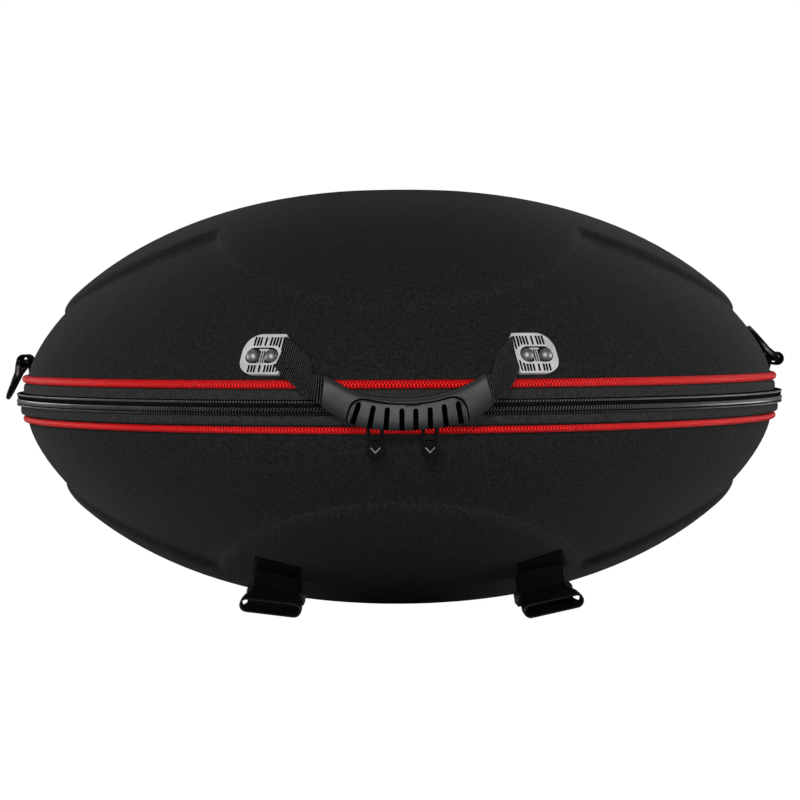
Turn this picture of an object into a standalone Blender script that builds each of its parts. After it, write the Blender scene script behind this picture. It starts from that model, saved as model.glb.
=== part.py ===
"""Handpan hard case: two moulded shells with a zip, a fabric hinge, a handle, D-rings and strap buckles."""

import math

import bmesh
import bpy
from mathutils import Matrix, Vector

# Lengths are metres and angles degrees. Azimuth 0 is the front, -Y, and grows towards +X.
# Heights named from the seam are measured away from the seam plane, up or down.
SEGMENTS = 48
CLEARANCE = 0.0003

# Moulded shells
SHELL_RADIUS = 0.3047
RIM_STRAIGHT = 0.0155
DOME_RISE = 0.1488
DOME_SIDE_POWER = 1.5
DOME_TOP_POWER = 2.3
WALL = 0.006
SEAM_GAP = 0.0002
PETAL_INSET = 0.0288
PETAL_HEIGHT = 0.0047
PETAL_EDGE = 0.013
DISC_RADIUS = 0.059
DISC_RISE = 0.0018
DISC_CROWN = 0.0030
FOOT_RISE = 0.0022
GROOVE_WIDTH = 0.009
GROOVE_DEPTH = 0.003
BOWL_SLOPES = (0, 11, 24, 40, 57, 75)
SEAT_OVERLAP = 0.003

# Lining and the cushions that hold the instrument's rim
LINER_THICKNESS = 0.003
CUSHION_WIDTH = 0.0271
CUSHION_DEPTH = 0.016
CUSHION_SETBACK = 0.003
CUSHION_CHAMFER = 0.002

# Piping, tapes and zip
PIPING_RADIUS = 0.003
PIPING_HEIGHT = 0.0159
PIPING_SINK = 0.0017
PIPING_SIDES = 6
FLANGE_STEP = 0.0010
UPPER_TAPE = 0.0020
LOWER_TAPE = 0.0044
COIL_DEPTH = 0.0055
COIL_HEIGHT = 0.0051
ZIP_SEGMENTS_EACH_WAY = 20
HINGE_THICKNESS = 0.0036

# Zip sliders and pulls
SLIDER_AZIMUTHS = {"left": -3.0, "right": 3.75}
SLIDER_LENGTH = 0.0144
SLIDER_PLATE = 0.0013
SLIDER_TOP = 0.0062
SLIDER_FLANGE_DEPTH = 0.0027
STUD_RADIUS = 0.0016
CAP_RADIUS = 0.0031
CAP_THICKNESS = 0.0012
PULL_THICKNESS = 0.0018
PULL_LENGTH = 0.0355
PULL_WIDTH = 0.0127
PULL_EYE_RADIUS = 0.0044
PULL_SLOT_TOP = 0.0162
PULL_SLOT = (0.0062, 0.0055)

# Handle
PLATE_AZIMUTH = 18.4
PLATE_HEIGHT = 0.0338
PLATE_WIDTH = 0.0324
PLATE_TALL = 0.0300
PLATE_THICKNESS = 0.0030
PLATE_OUTER_CORNER = 0.012
PLATE_INNER_CORNER = 0.002
BACKING_SIZE = (0.030, 0.014)
BACKING_THICKNESS = 0.002
RIVET_SPACING = 0.0134
RIVET_SHANK_RADIUS = 0.0025
RIVET_HEAD_RADIUS = 0.00415
RIVET_HEAD_HEIGHT = 0.0026
RIVET_FOOT_HEIGHT = 0.0012
WEBBING_WIDTH = 0.025
WEBBING_THICKNESS = 0.0016
ANCHOR_LENGTH = 0.026
ANCHOR_STICKS_OUT = 0.0012
PIVOT_LIFT = 0.0042
STRAP_END = 0.005
STRAP_FOLDED = (0.013, 0.0044)
STRAP_BOW = 0.006
STRAP_EDGE = 0.0009
GRIP_SHIFT = 0.005
GRIP_HALF_LENGTH = 0.057
GRIP_TALL = 0.0215
GRIP_DEPTH = 0.012
GRIP_COLLAR = 0.0009
GRIP_MIDDLE_HEIGHT = -0.004
GRIP_END_HEIGHT = 0.0122
GRIP_STANDOFF = 0.0018
GRIP_BORE_CLEARANCE = 0.0005
GRIP_SLOTS = 8
GRIP_SLOT_PITCH = 0.0095
GRIP_SLOT_WIDTH = 0.004
GRIP_SLOT_DEPTH = 0.0022
GRIP_SLOT_TOP = 0.0065

# D-rings
RING_WIDTH = 0.050
RING_LENGTH = 0.036
RING_BAR = 0.0042
RING_SIDE = 0.0055
RING_STRAIGHT = 0.010
RING_EYE_STANDOFF = 0.0078
RING_EYE_HEIGHT = 0.029
RING_EYE_RADIUS = 0.0036
RING_EYE_WALL = 0.0018
RING_TAB_WIDTH = 0.038
RING_TAB_FOOT = 0.007
RING_HANG = {"left": 24.0, "right": 217.8}

# Strap buckles. The bar has an azimuth, an inset from the rim and a drop below the dome.
# Then come the mouth's heading, the bar's tilt and the sewn tab's heading.
BUCKLES = {
    "front_left": (-27.26, 0.1028, 0.0206, -4.0, 6.5, 5.0),
    "front_right": (30.56, 0.0962, 0.0240, 9.0, -11.0, -7.0),
    "rear_left": (-151.37, 0.1002, 0.0219, 186.0, -9.0, 174.0),
    "rear_right": (151.37, 0.1002, 0.0219, 174.0, 9.0, 186.0),
}
BUCKLE_DROOP = 10.0
BUCKLE_WIDTH = 0.046
BUCKLE_LENGTH = 0.038
BUCKLE_THICKNESS = 0.0112
BUCKLE_FRAME_THICKNESS = 0.0052
BUCKLE_BAR = 0.0040
BUCKLE_SLOT = 0.0068
BUCKLE_SIDE = 0.0042
BUCKLE_MOUTH = (0.0396, 0.0080, 0.025)
BUCKLE_WINDOW = (0.010, 0.0064, 0.010)
BUCKLE_EYE_RADIUS = 0.0034
BUCKLE_EYE_WALL = 0.0017
TAB_WIDTH = 0.035
TAB_LENGTH = 0.033
TAB_LEAD = 0.007
TAB_CORNER = 0.002
TAB_THICKNESS = 0.0034
TAB_FOOT = 0.012

SEAM_HEIGHT = RIM_STRAIGHT + DOME_RISE + FOOT_RISE
GROOVE_RADIUS = SHELL_RADIUS - PIPING_SINK - CLEARANCE
PIPING_CENTRE = SHELL_RADIUS - PIPING_SINK + PIPING_RADIUS
FLANGE_RADIUS = SHELL_RADIUS + FLANGE_STEP
FLANGE_TOP = PIPING_HEIGHT - PIPING_RADIUS - CLEARANCE
GROOVE_TOP = PIPING_HEIGHT + PIPING_RADIUS + CLEARANCE
TAPE_RADIUS = FLANGE_RADIUS + CLEARANCE
COIL_RADIUS = TAPE_RADIUS + UPPER_TAPE + CLEARANCE
ZIP_RADIUS = COIL_RADIUS + COIL_DEPTH
SLIDER_INNER = ZIP_RADIUS + CLEARANCE
SLIDER_OUTER = SLIDER_INNER + SLIDER_PLATE
PULL_INNER = SLIDER_OUTER + CLEARANCE
CAP_INNER = PULL_INNER + PULL_THICKNESS + CLEARANCE
CAP_OUTER = CAP_INNER + CAP_THICKNESS
LINER_OFFSET = -WALL - CLEARANCE
BACKING_OFFSET = LINER_OFFSET - LINER_THICKNESS - CLEARANCE
HINGE_AXIS_RADIUS = TAPE_RADIUS + HINGE_THICKNESS + CLEARANCE
PLATE_LOW = WEBBING_THICKNESS + 2 * CLEARANCE
PLATE_TOP = PLATE_LOW + PLATE_THICKNESS
STEP = 2 * math.pi / SEGMENTS


# Scene helpers

def clear_scene():
    for obj in list(bpy.data.objects):
        bpy.data.objects.remove(obj, do_unlink=True)


def make_material(name, colour, roughness, metallic=0.0):
    material = bpy.data.materials.new(name)
    material.use_nodes = True
    shader = material.node_tree.nodes["Principled BSDF"]
    shader.inputs["Base Color"].default_value = (*colour, 1.0)
    shader.inputs["Roughness"].default_value = roughness
    shader.inputs["Metallic"].default_value = metallic
    return material


def make_materials():
    return {
        "shell": make_material("shell_fabric", (0.022, 0.021, 0.023), 0.75),
        "liner": make_material("liner_plush", (0.035, 0.035, 0.038), 0.95),
        "cushion": make_material("cushion_foam", (0.028, 0.028, 0.030), 0.90),
        "piping": make_material("red_piping", (0.70, 0.030, 0.040), 0.65),
        "tape": make_material("black_tape", (0.020, 0.020, 0.021), 0.80),
        "coil": make_material("zip_coil", (0.030, 0.030, 0.032), 0.35),
        "webbing": make_material("black_webbing", (0.028, 0.028, 0.028), 0.70),
        "metal": make_material("black_metal", (0.020, 0.020, 0.022), 0.25, 0.9),
        "plate": make_material("grey_plate", (0.42, 0.42, 0.43), 0.45),
        "grip": make_material("grip_rubber", (0.055, 0.055, 0.058), 0.60),
        "buckle": make_material("buckle_plastic", (0.018, 0.018, 0.020), 0.30),
    }


def make_body(name, place, parent=None):
    """An empty on a moving body's joint axis. Its pieces are parented to it."""
    empty = bpy.data.objects.new(name, None)
    bpy.context.scene.collection.objects.link(empty)
    empty.parent = parent
    empty.location = place - world_place(parent)
    empty.empty_display_size = 0.02
    return empty


def world_place(obj):
    return Vector() if obj is None else obj.location + world_place(obj.parent)


def add_piece(name, bm, material, body, smooth=True):
    """Turns a bmesh in world coordinates into a named object under its body."""
    origin = world_place(body)
    bmesh.ops.translate(bm, vec=-origin, verts=bm.verts)
    mesh = bpy.data.meshes.new(name)
    bm.to_mesh(mesh)
    bm.free()
    if smooth:
        mesh.shade_smooth()
        mesh.set_sharp_from_angle(angle=math.radians(35))
    mesh.materials.append(material)
    obj = bpy.data.objects.new(name, mesh)
    bpy.context.scene.collection.objects.link(obj)
    obj.parent = body
    return obj


def add_helper(name, bm, body=None):
    """A cutter, or a shape to join: kept out of renders and of the part."""
    material = bpy.data.materials.get("helper") or bpy.data.materials.new("helper")
    obj = add_piece(name, bm, material, body, smooth=False)
    obj.hide_render = True
    obj.display_type = "WIRE"
    return obj


def combine(obj, other, operation):
    modifier = obj.modifiers.new(f"{operation.lower()} {other.name}", "BOOLEAN")
    modifier.operation = operation
    modifier.object = other
    modifier.solver = "EXACT"


# Mesh helpers

def facing_out(bm):
    bmesh.ops.recalc_face_normals(bm, faces=bm.faces)
    if bm.calc_volume(signed=True) < 0:
        bmesh.ops.reverse_faces(bm, faces=bm.faces)
    return bm


def loft(rings, joined=False):
    """Skins rings of points. A ring of one point is a tip, and joined closes the last ring to the first."""
    bm = bmesh.new()
    rows = [[bm.verts.new(point) for point in ring] for ring in rings]
    pairs = list(zip(rows, rows[1:]))
    if joined:
        pairs.append((rows[-1], rows[0]))
    for low, high in pairs:
        skin_between(bm, low, high)
    if not joined:
        for row in (rows[0], rows[-1]):
            if len(row) > 2:
                bm.faces.new(row)
    return facing_out(bm)


def skin_between(bm, low, high):
    count = max(len(low), len(high))
    for i in range(count):
        j = (i + 1) % count
        if len(low) == 1:
            bm.faces.new((low[0], high[j], high[i]))
        elif len(high) == 1:
            bm.faces.new((low[i], low[j], high[0]))
        else:
            bm.faces.new((low[i], low[j], high[j]))
            bm.faces.new((low[i], high[j], high[i]))


def rounded_outline(width, height, corner_radii, arc_steps=3):
    """Anticlockwise from the +X +Y corner. Radii run in that order."""
    signs = ((1, 1), (-1, 1), (-1, -1), (1, -1))
    points = []
    for index, (sign, radius) in enumerate(zip(signs, corner_radii)):
        centre = (sign[0] * (width / 2 - radius), sign[1] * (height / 2 - radius))
        for step in range(arc_steps + 1):
            angle = math.pi / 2 * (index + step / arc_steps)
            points.append((centre[0] + radius * math.cos(angle), centre[1] + radius * math.sin(angle)))
    return points


def scaled(outline, factor):
    middle_x = sum(x for x, _ in outline) / len(outline)
    middle_y = sum(y for _, y in outline) / len(outline)
    return [(middle_x + factor * (x - middle_x), middle_y + factor * (y - middle_y)) for x, y in outline]


def slab(outline, low, high, place):
    """A plate of an outline between two heights. The place function bends it onto its seat."""
    half = scaled(outline, 0.5)
    middle = scaled(outline, 0.0)[:1]
    layers = [(middle, low), (half, low), (outline, low), (outline, high), (half, high), (middle, high)]
    return loft([[place(x, y, height) for x, y in points] for points, height in layers])


def box(low, high, matrix=None):
    bm = bmesh.new()
    centre = (Vector(low) + Vector(high)) / 2
    size = Vector(high) - Vector(low)
    bmesh.ops.create_cube(bm, size=1.0, matrix=Matrix.Translation(centre) @ Matrix.Diagonal((*size, 1.0)))
    if matrix is not None:
        bm.transform(matrix)
    return facing_out(bm)


def extruded(outline, low, high, matrix):
    """An outline in the matrix's X and Y, extruded along its Z."""
    return loft([[matrix @ Vector((x, y, z)) for x, y in outline] for z in (low, high)])


def frame_of_slots(outer, inner, low, high, matrix):
    """A flat frame between two outlines with as many points, such as a ring."""
    layers = [(outer, low), (outer, high), (inner, high), (inner, low)]
    return loft([[matrix @ Vector((x, y, z)) for x, y in points] for points, z in layers], joined=True)


def turned(profile, matrix, count):
    """A profile of (radius, height) turned about the matrix's Z, from tip to tip."""
    rings = []
    for radius, height in profile:
        around = count if radius else 1
        angles = [2 * math.pi * i / count for i in range(around)]
        rings.append([matrix @ Vector((radius * math.cos(a), radius * math.sin(a), height)) for a in angles])
    return loft(rings)


def merged(*shapes):
    """Several separate shapes as one bmesh."""
    whole = bmesh.new()
    for shape in shapes:
        mesh = bpy.data.meshes.new("part of a whole")
        shape.to_mesh(mesh)
        shape.free()
        whole.from_mesh(mesh)
        bpy.data.meshes.remove(mesh)
    return whole


# Shape of the shells

def dome(slope, offset=0.0):
    """Radius and height above the seam. Slope runs from 0 at the rim to a quarter turn on the axis."""
    radius = SHELL_RADIUS * max(math.cos(slope), 0.0) ** (2 / DOME_TOP_POWER)
    rise = DOME_RISE * max(math.sin(slope), 0.0) ** (2 / DOME_SIDE_POWER)
    out = DOME_TOP_POWER / SHELL_RADIUS * (radius / SHELL_RADIUS) ** (DOME_TOP_POWER - 1)
    up = DOME_SIDE_POWER / DOME_RISE * (rise / DOME_RISE) ** (DOME_SIDE_POWER - 1)
    length = math.hypot(out, up)
    return radius + offset * out / length, RIM_STRAIGHT + rise + offset * up / length


def slope_at_radius(radius):
    return math.acos((radius / SHELL_RADIUS) ** (DOME_TOP_POWER / 2))


def slope_at_height(height):
    return math.asin(((height - RIM_STRAIGHT) / DOME_RISE) ** (DOME_SIDE_POWER / 2))


def length_per_slope(slope):
    step = 0.001
    (r0, z0), (r1, z1) = dome(slope - step), dome(slope + step)
    return math.hypot(r1 - r0, z1 - z0) / (2 * step)


def petal_slope(azimuth):
    """Where the raised petals end: four circles in plan that all pass through the axis."""
    reach = SHELL_RADIUS - PETAL_INSET
    return slope_at_radius(reach * max(abs(math.cos(azimuth)), abs(math.sin(azimuth))))


def polar(azimuth, radius, height, side):
    """A world point. Side is 1 above the seam and -1 below it."""
    return Vector((radius * math.sin(azimuth), -radius * math.cos(azimuth), SEAM_HEIGHT + side * height))


def ring(side, shape):
    return [polar(i * STEP, *shape(i * STEP), side) for i in range(SEGMENTS)]


def on_shell(side, azimuth, slope, turn=0.0):
    """A function from (across, along, height) to a world point that follows the dome. Turn spins it flat."""
    per_slope = length_per_slope(slope)

    def place(across, along, height):
        u = across * math.cos(turn) - along * math.sin(turn)
        v = across * math.sin(turn) + along * math.cos(turn)
        there = slope + v / per_slope
        return polar(azimuth + u / dome(there)[0], *dome(there, height), side)

    return place


def frame_on_shell(side, azimuth, slope, across=0.0, along=0.0):
    """A matrix whose Z is the dome's outward normal, at a point of the surface."""
    place = on_shell(side, azimuth, slope)
    small = 0.0005
    origin = place(across, along, 0.0)
    z_axis = (place(across, along, small) - origin).normalized()
    x_axis = (place(across + small, along, 0.0) - origin).normalized()
    y_axis = z_axis.cross(x_axis).normalized()
    x_axis = y_axis.cross(z_axis)
    return Matrix.Translation(origin) @ Matrix((x_axis, y_axis, z_axis)).transposed().to_4x4()


# Shells and lining

def petal_rings(side, margin=0.0):
    """From the groove round the disc out to the foot of the petals' edge."""
    start = slope_at_radius(DISC_RADIUS + GROOVE_WIDTH)
    rings = []
    for share in (0.0, 0.27, 0.53, 0.77):
        def surface(azimuth, share=share):
            edge = petal_slope(azimuth)
            top = edge + PETAL_EDGE / length_per_slope(edge)
            return dome(start + share * (top - start), PETAL_HEIGHT + margin)
        rings.append(ring(side, surface))
    for share in (1.0, 0.5, 0.15, 0.0):
        def edge_surface(azimuth, share=share):
            edge = petal_slope(azimuth)
            height = PETAL_HEIGHT * math.sqrt(1 - (1 - share) ** 2)
            return dome(edge + share * PETAL_EDGE / length_per_slope(edge), height + margin)
        rings.append(ring(side, edge_surface))
    return rings


def disc_rings(side):
    """The round disc in the middle: crowned on the lid, flat underneath, where the case stands."""
    top = RIM_STRAIGHT + DOME_RISE
    rise = DISC_RISE if side > 0 else FOOT_RISE
    crown = DISC_CROWN if side > 0 else 0.0
    floor = dome(slope_at_radius(DISC_RADIUS), PETAL_HEIGHT)[1] - GROOVE_DEPTH
    profile = [(0.55 * DISC_RADIUS, top + rise + 0.7 * crown), (DISC_RADIUS, top + rise)]
    profile += [(DISC_RADIUS + 0.15 * GROOVE_WIDTH, floor), (DISC_RADIUS + 0.6 * GROOVE_WIDTH, floor)]
    rings = [[polar(0.0, 0.0, top + rise + crown, side)]]
    return rings + [ring(side, lambda azimuth, point=point: point) for point in profile]


def skirt_rings(side, margin=0.0):
    """From the petals' edge down to just above the piping."""
    rings = []
    for share in (0.75, 0.5, 0.25):
        rings.append(ring(side, lambda azimuth, share=share: dome(share * petal_slope(azimuth), margin)))
    return rings + [ring(side, lambda azimuth: dome(slope_at_height(GROOVE_TOP), margin))]


def rim_rings(side):
    """The piping's groove, the flange that carries the tape, and the edge at the seam."""
    profile = [(GROOVE_RADIUS, GROOVE_TOP), (GROOVE_RADIUS, FLANGE_TOP), (FLANGE_RADIUS, FLANGE_TOP)]
    profile += [(FLANGE_RADIUS, SEAM_GAP), (SHELL_RADIUS - WALL, SEAM_GAP)]
    return [ring(side, lambda azimuth, point=point: point) for point in profile]


def bowl_rings(side, offset):
    """The inside of the dome at an offset, from the rim to the tip."""
    rings = []
    for degrees in BOWL_SLOPES:
        rings.append(ring(side, lambda azimuth, slope=math.radians(degrees): dome(slope, offset)))
    return rings + [[polar(0.0, *dome(math.pi / 2, offset), side)]]


def make_shell(name, side, material, body):
    outside = disc_rings(side) + petal_rings(side) + skirt_rings(side) + rim_rings(side)
    return add_piece(name, loft(outside + bowl_rings(side, -WALL)), material, body)


def make_liner(name, side, material, body):
    """The soft lining, a thin bowl inside its shell."""
    outer, inner = LINER_OFFSET, LINER_OFFSET - LINER_THICKNESS
    edge = []
    for radius in (SHELL_RADIUS + outer, SHELL_RADIUS + inner):
        edge.append(ring(side, lambda azimuth, radius=radius: (radius, CLEARANCE + SEAM_GAP)))
    rings = bowl_rings(side, outer)[::-1] + edge + bowl_rings(side, inner)
    return add_piece(name, loft(rings), material, body)


def outer_seat(side, body):
    """The outside of a shell grown by a clearance. It trims the pieces that lie on the shell."""
    tip = [[polar(0.0, *dome(math.pi / 2, PETAL_HEIGHT), side)]]
    rings = tip + petal_rings(side, CLEARANCE) + skirt_rings(side, CLEARANCE)
    rings.append(ring(side, lambda azimuth: (SHELL_RADIUS, FLANGE_TOP)))
    return add_helper("upper_seat" if side > 0 else "lower_seat", loft(rings), body)


def inner_seat(side, body):
    """The room inside a liner. It trims the pieces that lie against the lining."""
    return add_helper("inner_seat", loft(bowl_rings(side, BACKING_OFFSET)), body)


def make_cushion(name, side, material, body):
    """The foam ring along the rim that the instrument's own rim lies on."""
    outside = SHELL_RADIUS + BACKING_OFFSET
    inside = outside - CUSHION_WIDTH
    low, high = CUSHION_SETBACK, CUSHION_SETBACK + CUSHION_DEPTH
    profile = [(outside, low), (outside, RIM_STRAIGHT), (outside - CUSHION_CHAMFER, high)]
    profile += [(inside + 0.4 * CUSHION_DEPTH, 0.8 * high), (inside, low)]
    return add_band(name, profile, side, 0, SEGMENTS, material, body)


# Rim bands

def add_band(name, profile, side, first, last, material, body):
    """A profile of (radius, height) carried round the rim from one segment to another."""
    whole = last - first == SEGMENTS
    stations = range(first, last if whole else last + 1)
    rings = [[polar(i * STEP, radius, height, side) for radius, height in profile] for i in stations]
    return add_piece(name, loft(rings, joined=whole), material, body)


def make_piping(name, side, material, body):
    angles = [2 * math.pi * i / PIPING_SIDES for i in range(PIPING_SIDES)]
    profile = []
    for angle in angles:
        out, up = PIPING_RADIUS * math.cos(angle), PIPING_RADIUS * math.sin(angle)
        profile.append((PIPING_CENTRE + out, PIPING_HEIGHT + up))
    return add_band(name, profile, side, 0, SEGMENTS, material, body)


def make_rim_trim(side, materials, body):
    """Tape and coil along the opening, and this side's leaf of the fabric hinge across the back."""
    where = "upper" if side > 0 else "lower"
    low, high = SEAM_GAP, FLANGE_TOP - CLEARANCE
    plain = TAPE_RADIUS + UPPER_TAPE
    bulge = TAPE_RADIUS + (UPPER_TAPE if side > 0 else LOWER_TAPE)
    coil_top = SEAM_GAP + COIL_HEIGHT
    tape = [(TAPE_RADIUS, low), (plain, low), (plain, coil_top)]
    if side < 0:
        tape.append((bulge, coil_top + 4 * CLEARANCE))
    tape += [(bulge, high - 0.2 * (high - coil_top)), (TAPE_RADIUS, high)]
    coil = [(COIL_RADIUS, low), (ZIP_RADIUS, low), (ZIP_RADIUS, 0.8 * coil_top), (COIL_RADIUS, coil_top)]
    leaf = [(TAPE_RADIUS, low), (TAPE_RADIUS + HINGE_THICKNESS, low)]
    leaf += [(TAPE_RADIUS + HINGE_THICKNESS, 0.8 * high), (TAPE_RADIUS, high)]
    ends = ZIP_SEGMENTS_EACH_WAY
    add_band(f"{where}_zip_tape", tape, side, -ends, ends, materials["tape"], body)
    add_band(f"{where}_zip_coil", coil, side, -ends, ends, materials["coil"], body)
    make_hinge_leaf(where, leaf, side, materials["webbing"], body)


def make_hinge_leaf(where, profile, side, material, body):
    gap = CLEARANCE / TAPE_RADIUS
    first, last = ZIP_SEGMENTS_EACH_WAY, SEGMENTS - ZIP_SEGMENTS_EACH_WAY
    azimuths = [i * STEP for i in range(first, last + 1)]
    azimuths[0] += gap
    azimuths[-1] -= gap
    rings = [[polar(a, radius, height, side) for radius, height in profile] for a in azimuths]
    return add_piece(f"hinge_strip_{where}", loft(rings), material, body)


# Zip sliders and pulls

def slider_frame(azimuth):
    """A matrix on the seam with X along the zip, Y up and Z outwards."""
    angle = math.radians(azimuth)
    turn = Matrix.Rotation(angle, 4, "Z") @ Matrix.Rotation(math.pi / 2, 4, "X")
    return Matrix.Translation((0.0, 0.0, SEAM_HEIGHT)) @ turn


def make_slider(where, azimuth, material, body):
    frame = slider_frame(azimuth)
    half = SLIDER_LENGTH / 2
    flange_low = -SEAM_GAP - COIL_HEIGHT - CLEARANCE
    flange = (SLIDER_INNER - SLIDER_FLANGE_DEPTH, flange_low)
    foot = flange_low - SLIDER_PLATE
    profile = [(SLIDER_OUTER, SLIDER_TOP), (SLIDER_INNER, SLIDER_TOP), (SLIDER_INNER, flange_low), flange]
    profile += [(flange[0], foot), (SLIDER_OUTER, foot)]
    waist = [(-half, 0.8), (0.0, 1.0), (half, 0.8)]
    rings = []
    for x, tall in waist:
        rings.append([frame @ Vector((x, y * (tall if y > 0 else 1.0), z)) for z, y in profile])
    slider = add_piece(f"zip_slider_{where}", loft(rings), material, body, smooth=False)
    stud = [(0.0, SLIDER_OUTER - SLIDER_PLATE / 2), (STUD_RADIUS, SLIDER_OUTER - SLIDER_PLATE / 2)]
    stud += [(STUD_RADIUS, CAP_INNER), (CAP_RADIUS, CAP_INNER), (CAP_RADIUS, CAP_OUTER - CAP_THICKNESS / 3)]
    stud += [(0.6 * CAP_RADIUS, CAP_OUTER), (0.0, CAP_OUTER)]
    helper = add_helper(f"stud_shape_{where}", turned(stud, frame, 12), body)
    combine(slider, helper, "UNION")


def pull_outline():
    """A round eye at the top, a neck, and a wider tab with a round end."""
    points = [(PULL_EYE_RADIUS * math.cos(a), PULL_EYE_RADIUS * math.sin(a))
              for a in [math.radians(-30 + 240 * i / 8) for i in range(9)]]
    half = PULL_WIDTH / 2
    shoulder = -PULL_EYE_RADIUS - half
    bottom = -PULL_LENGTH + half
    points += [(-half, shoulder), (-half, bottom)]
    turns = [math.pi * i / 8 for i in range(1, 8)]
    points += [(-half * math.cos(turn), bottom - half * math.sin(turn)) for turn in turns]
    points += [(half, bottom), (half, shoulder)]
    return points


def make_pull(where, azimuth, material, body):
    frame = slider_frame(azimuth)
    high = PULL_INNER + PULL_THICKNESS
    pull = add_piece(f"zip_pull_{where}", extruded(pull_outline(), PULL_INNER, high, frame), material, body)
    hole_radius = STUD_RADIUS + CLEARANCE
    low, top = PULL_INNER - PULL_THICKNESS, high + PULL_THICKNESS
    hole = turned([(0.0, low), (hole_radius, low), (hole_radius, top), (0.0, top)], frame, 12)
    width, tall = PULL_SLOT
    slot = box((-width / 2, -PULL_SLOT_TOP - tall, low), (width / 2, -PULL_SLOT_TOP, top), frame)
    combine(pull, add_helper(f"pull_holes_{where}", merged(hole, slot), body), "DIFFERENCE")


# Handle

def handle_side(where):
    """Sign of the side, and the azimuth and slope of its plate's middle."""
    sign = -1 if where == "left" else 1
    return sign, sign * math.radians(PLATE_AZIMUTH), slope_at_height(PLATE_HEIGHT)


def plate_outline(sign):
    """Rounded at the outer end and squared where the webbing leaves."""
    outer, inner = PLATE_OUTER_CORNER, PLATE_INNER_CORNER
    corners = (outer, inner, inner, outer) if sign > 0 else (inner, outer, outer, inner)
    return rounded_outline(PLATE_WIDTH, PLATE_TALL, corners)


def anchor_outline(sign, margin=0.0):
    """The webbing under a plate, from inside the plate to just past its inner end."""
    end = -sign * (PLATE_WIDTH / 2 + ANCHOR_STICKS_OUT + 2 * margin)
    start = end + sign * (ANCHOR_LENGTH + 3 * margin)
    half = WEBBING_WIDTH / 2 + margin
    low, high = sorted((start, end))
    return [(high, half), (low, half), (low, -half), (high, -half)]


def make_plate(where, materials, body, seats, holes):
    sign, azimuth, slope = handle_side(where)
    place = on_shell(1, azimuth, slope)
    plate = slab(plate_outline(sign), -SEAT_OVERLAP, PLATE_TOP, place)
    plate = add_piece(f"handle_plate_{where}", plate, materials["plate"], body)
    combine(plate, seats["outer"], "DIFFERENCE")
    pocket = slab(anchor_outline(sign, CLEARANCE), -SEAT_OVERLAP, PLATE_LOW, place)
    combine(plate, add_helper(f"webbing_pocket_{where}", pocket, body), "DIFFERENCE")
    anchor = slab(anchor_outline(sign), -SEAT_OVERLAP, CLEARANCE + WEBBING_THICKNESS, place)
    anchor = add_piece(f"handle_anchor_{where}", anchor, materials["webbing"], body)
    combine(anchor, seats["outer"], "DIFFERENCE")
    outline = rounded_outline(*BACKING_SIZE, (BACKING_SIZE[1] / 4,) * 4, arc_steps=1)
    backing = slab(outline, BACKING_OFFSET - BACKING_THICKNESS, BACKING_OFFSET + SEAT_OVERLAP, place)
    backing = add_piece(f"backing_plate_{where}", backing, materials["plate"], body)
    combine(backing, seats["inner"], "INTERSECT")
    for piece in (plate, anchor, backing):
        combine(piece, holes, "DIFFERENCE")


def rivet_frames(where):
    sign, azimuth, slope = handle_side(where)
    return {end: frame_on_shell(1, azimuth, slope, across=sign * way * RIVET_SPACING / 2)
            for end, way in (("outer", 1), ("inner", -1))}


def make_rivets(where, material, body):
    """Domed heads outside, a foot inside on the backing plate, and the shank between them."""
    base = PLATE_TOP + CLEARANCE
    foot = BACKING_OFFSET - BACKING_THICKNESS - CLEARANCE
    profile = [(0.0, base + RIVET_HEAD_HEIGHT), (0.6 * RIVET_HEAD_RADIUS, base + 0.8 * RIVET_HEAD_HEIGHT)]
    profile += [(RIVET_HEAD_RADIUS, base + 0.25 * RIVET_HEAD_HEIGHT), (RIVET_HEAD_RADIUS, base)]
    profile += [(RIVET_SHANK_RADIUS, base), (RIVET_SHANK_RADIUS, foot), (RIVET_HEAD_RADIUS, foot)]
    profile += [(RIVET_HEAD_RADIUS, foot - RIVET_FOOT_HEIGHT), (0.0, foot - RIVET_FOOT_HEIGHT)]
    for end, frame in rivet_frames(where).items():
        add_piece(f"rivet_{where}_{end}", turned(profile, frame, 12), material, body)


def rivet_hole_cutter(body):
    radius = RIVET_SHANK_RADIUS + CLEARANCE
    high = PLATE_TOP + RIVET_HEAD_HEIGHT
    low = BACKING_OFFSET - BACKING_THICKNESS - RIVET_FOOT_HEIGHT
    profile = [(0.0, high), (radius, high), (radius, low), (0.0, low)]
    frames = [*rivet_frames("left").values(), *rivet_frames("right").values()]
    shapes = [turned(profile, frame, 12) for frame in frames]
    return add_helper("rivet_holes", merged(*shapes), body)


def pivot_point():
    """The right end of the line that the handle swings about, just inside the plates' inner ends."""
    _, azimuth, slope = handle_side("right")
    across = -(PLATE_WIDTH / 2 + ANCHOR_STICKS_OUT + 2 * CLEARANCE)
    return on_shell(1, azimuth, slope)(across, 0.0, PIVOT_LIFT)


def grip_path(share):
    """Centre line of the grip, from -1 at its left end to 1 at its right end: a sagging, bowed curve."""
    clear = CAP_OUTER + GRIP_STANDOFF
    end_y = -math.sqrt(clear**2 - (GRIP_HALF_LENGTH + GRIP_SHIFT) ** 2) - GRIP_DEPTH / 2
    middle_y = -clear - GRIP_DEPTH / 2
    x = GRIP_SHIFT + GRIP_HALF_LENGTH * share
    y = middle_y + (end_y - middle_y) * share**2
    height = GRIP_MIDDLE_HEIGHT + (GRIP_END_HEIGHT - GRIP_MIDDLE_HEIGHT) * share**2
    return Vector((x, y, SEAM_HEIGHT + height))


def path_frame(centre, along):
    """A matrix with X along a path, Y up and Z outwards, away from the front of the case."""
    out = along.cross(Vector((0.0, 0.0, 1.0))).normalized()
    return Matrix.Translation(centre) @ Matrix((along, out.cross(along), out)).transposed().to_4x4()


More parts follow.
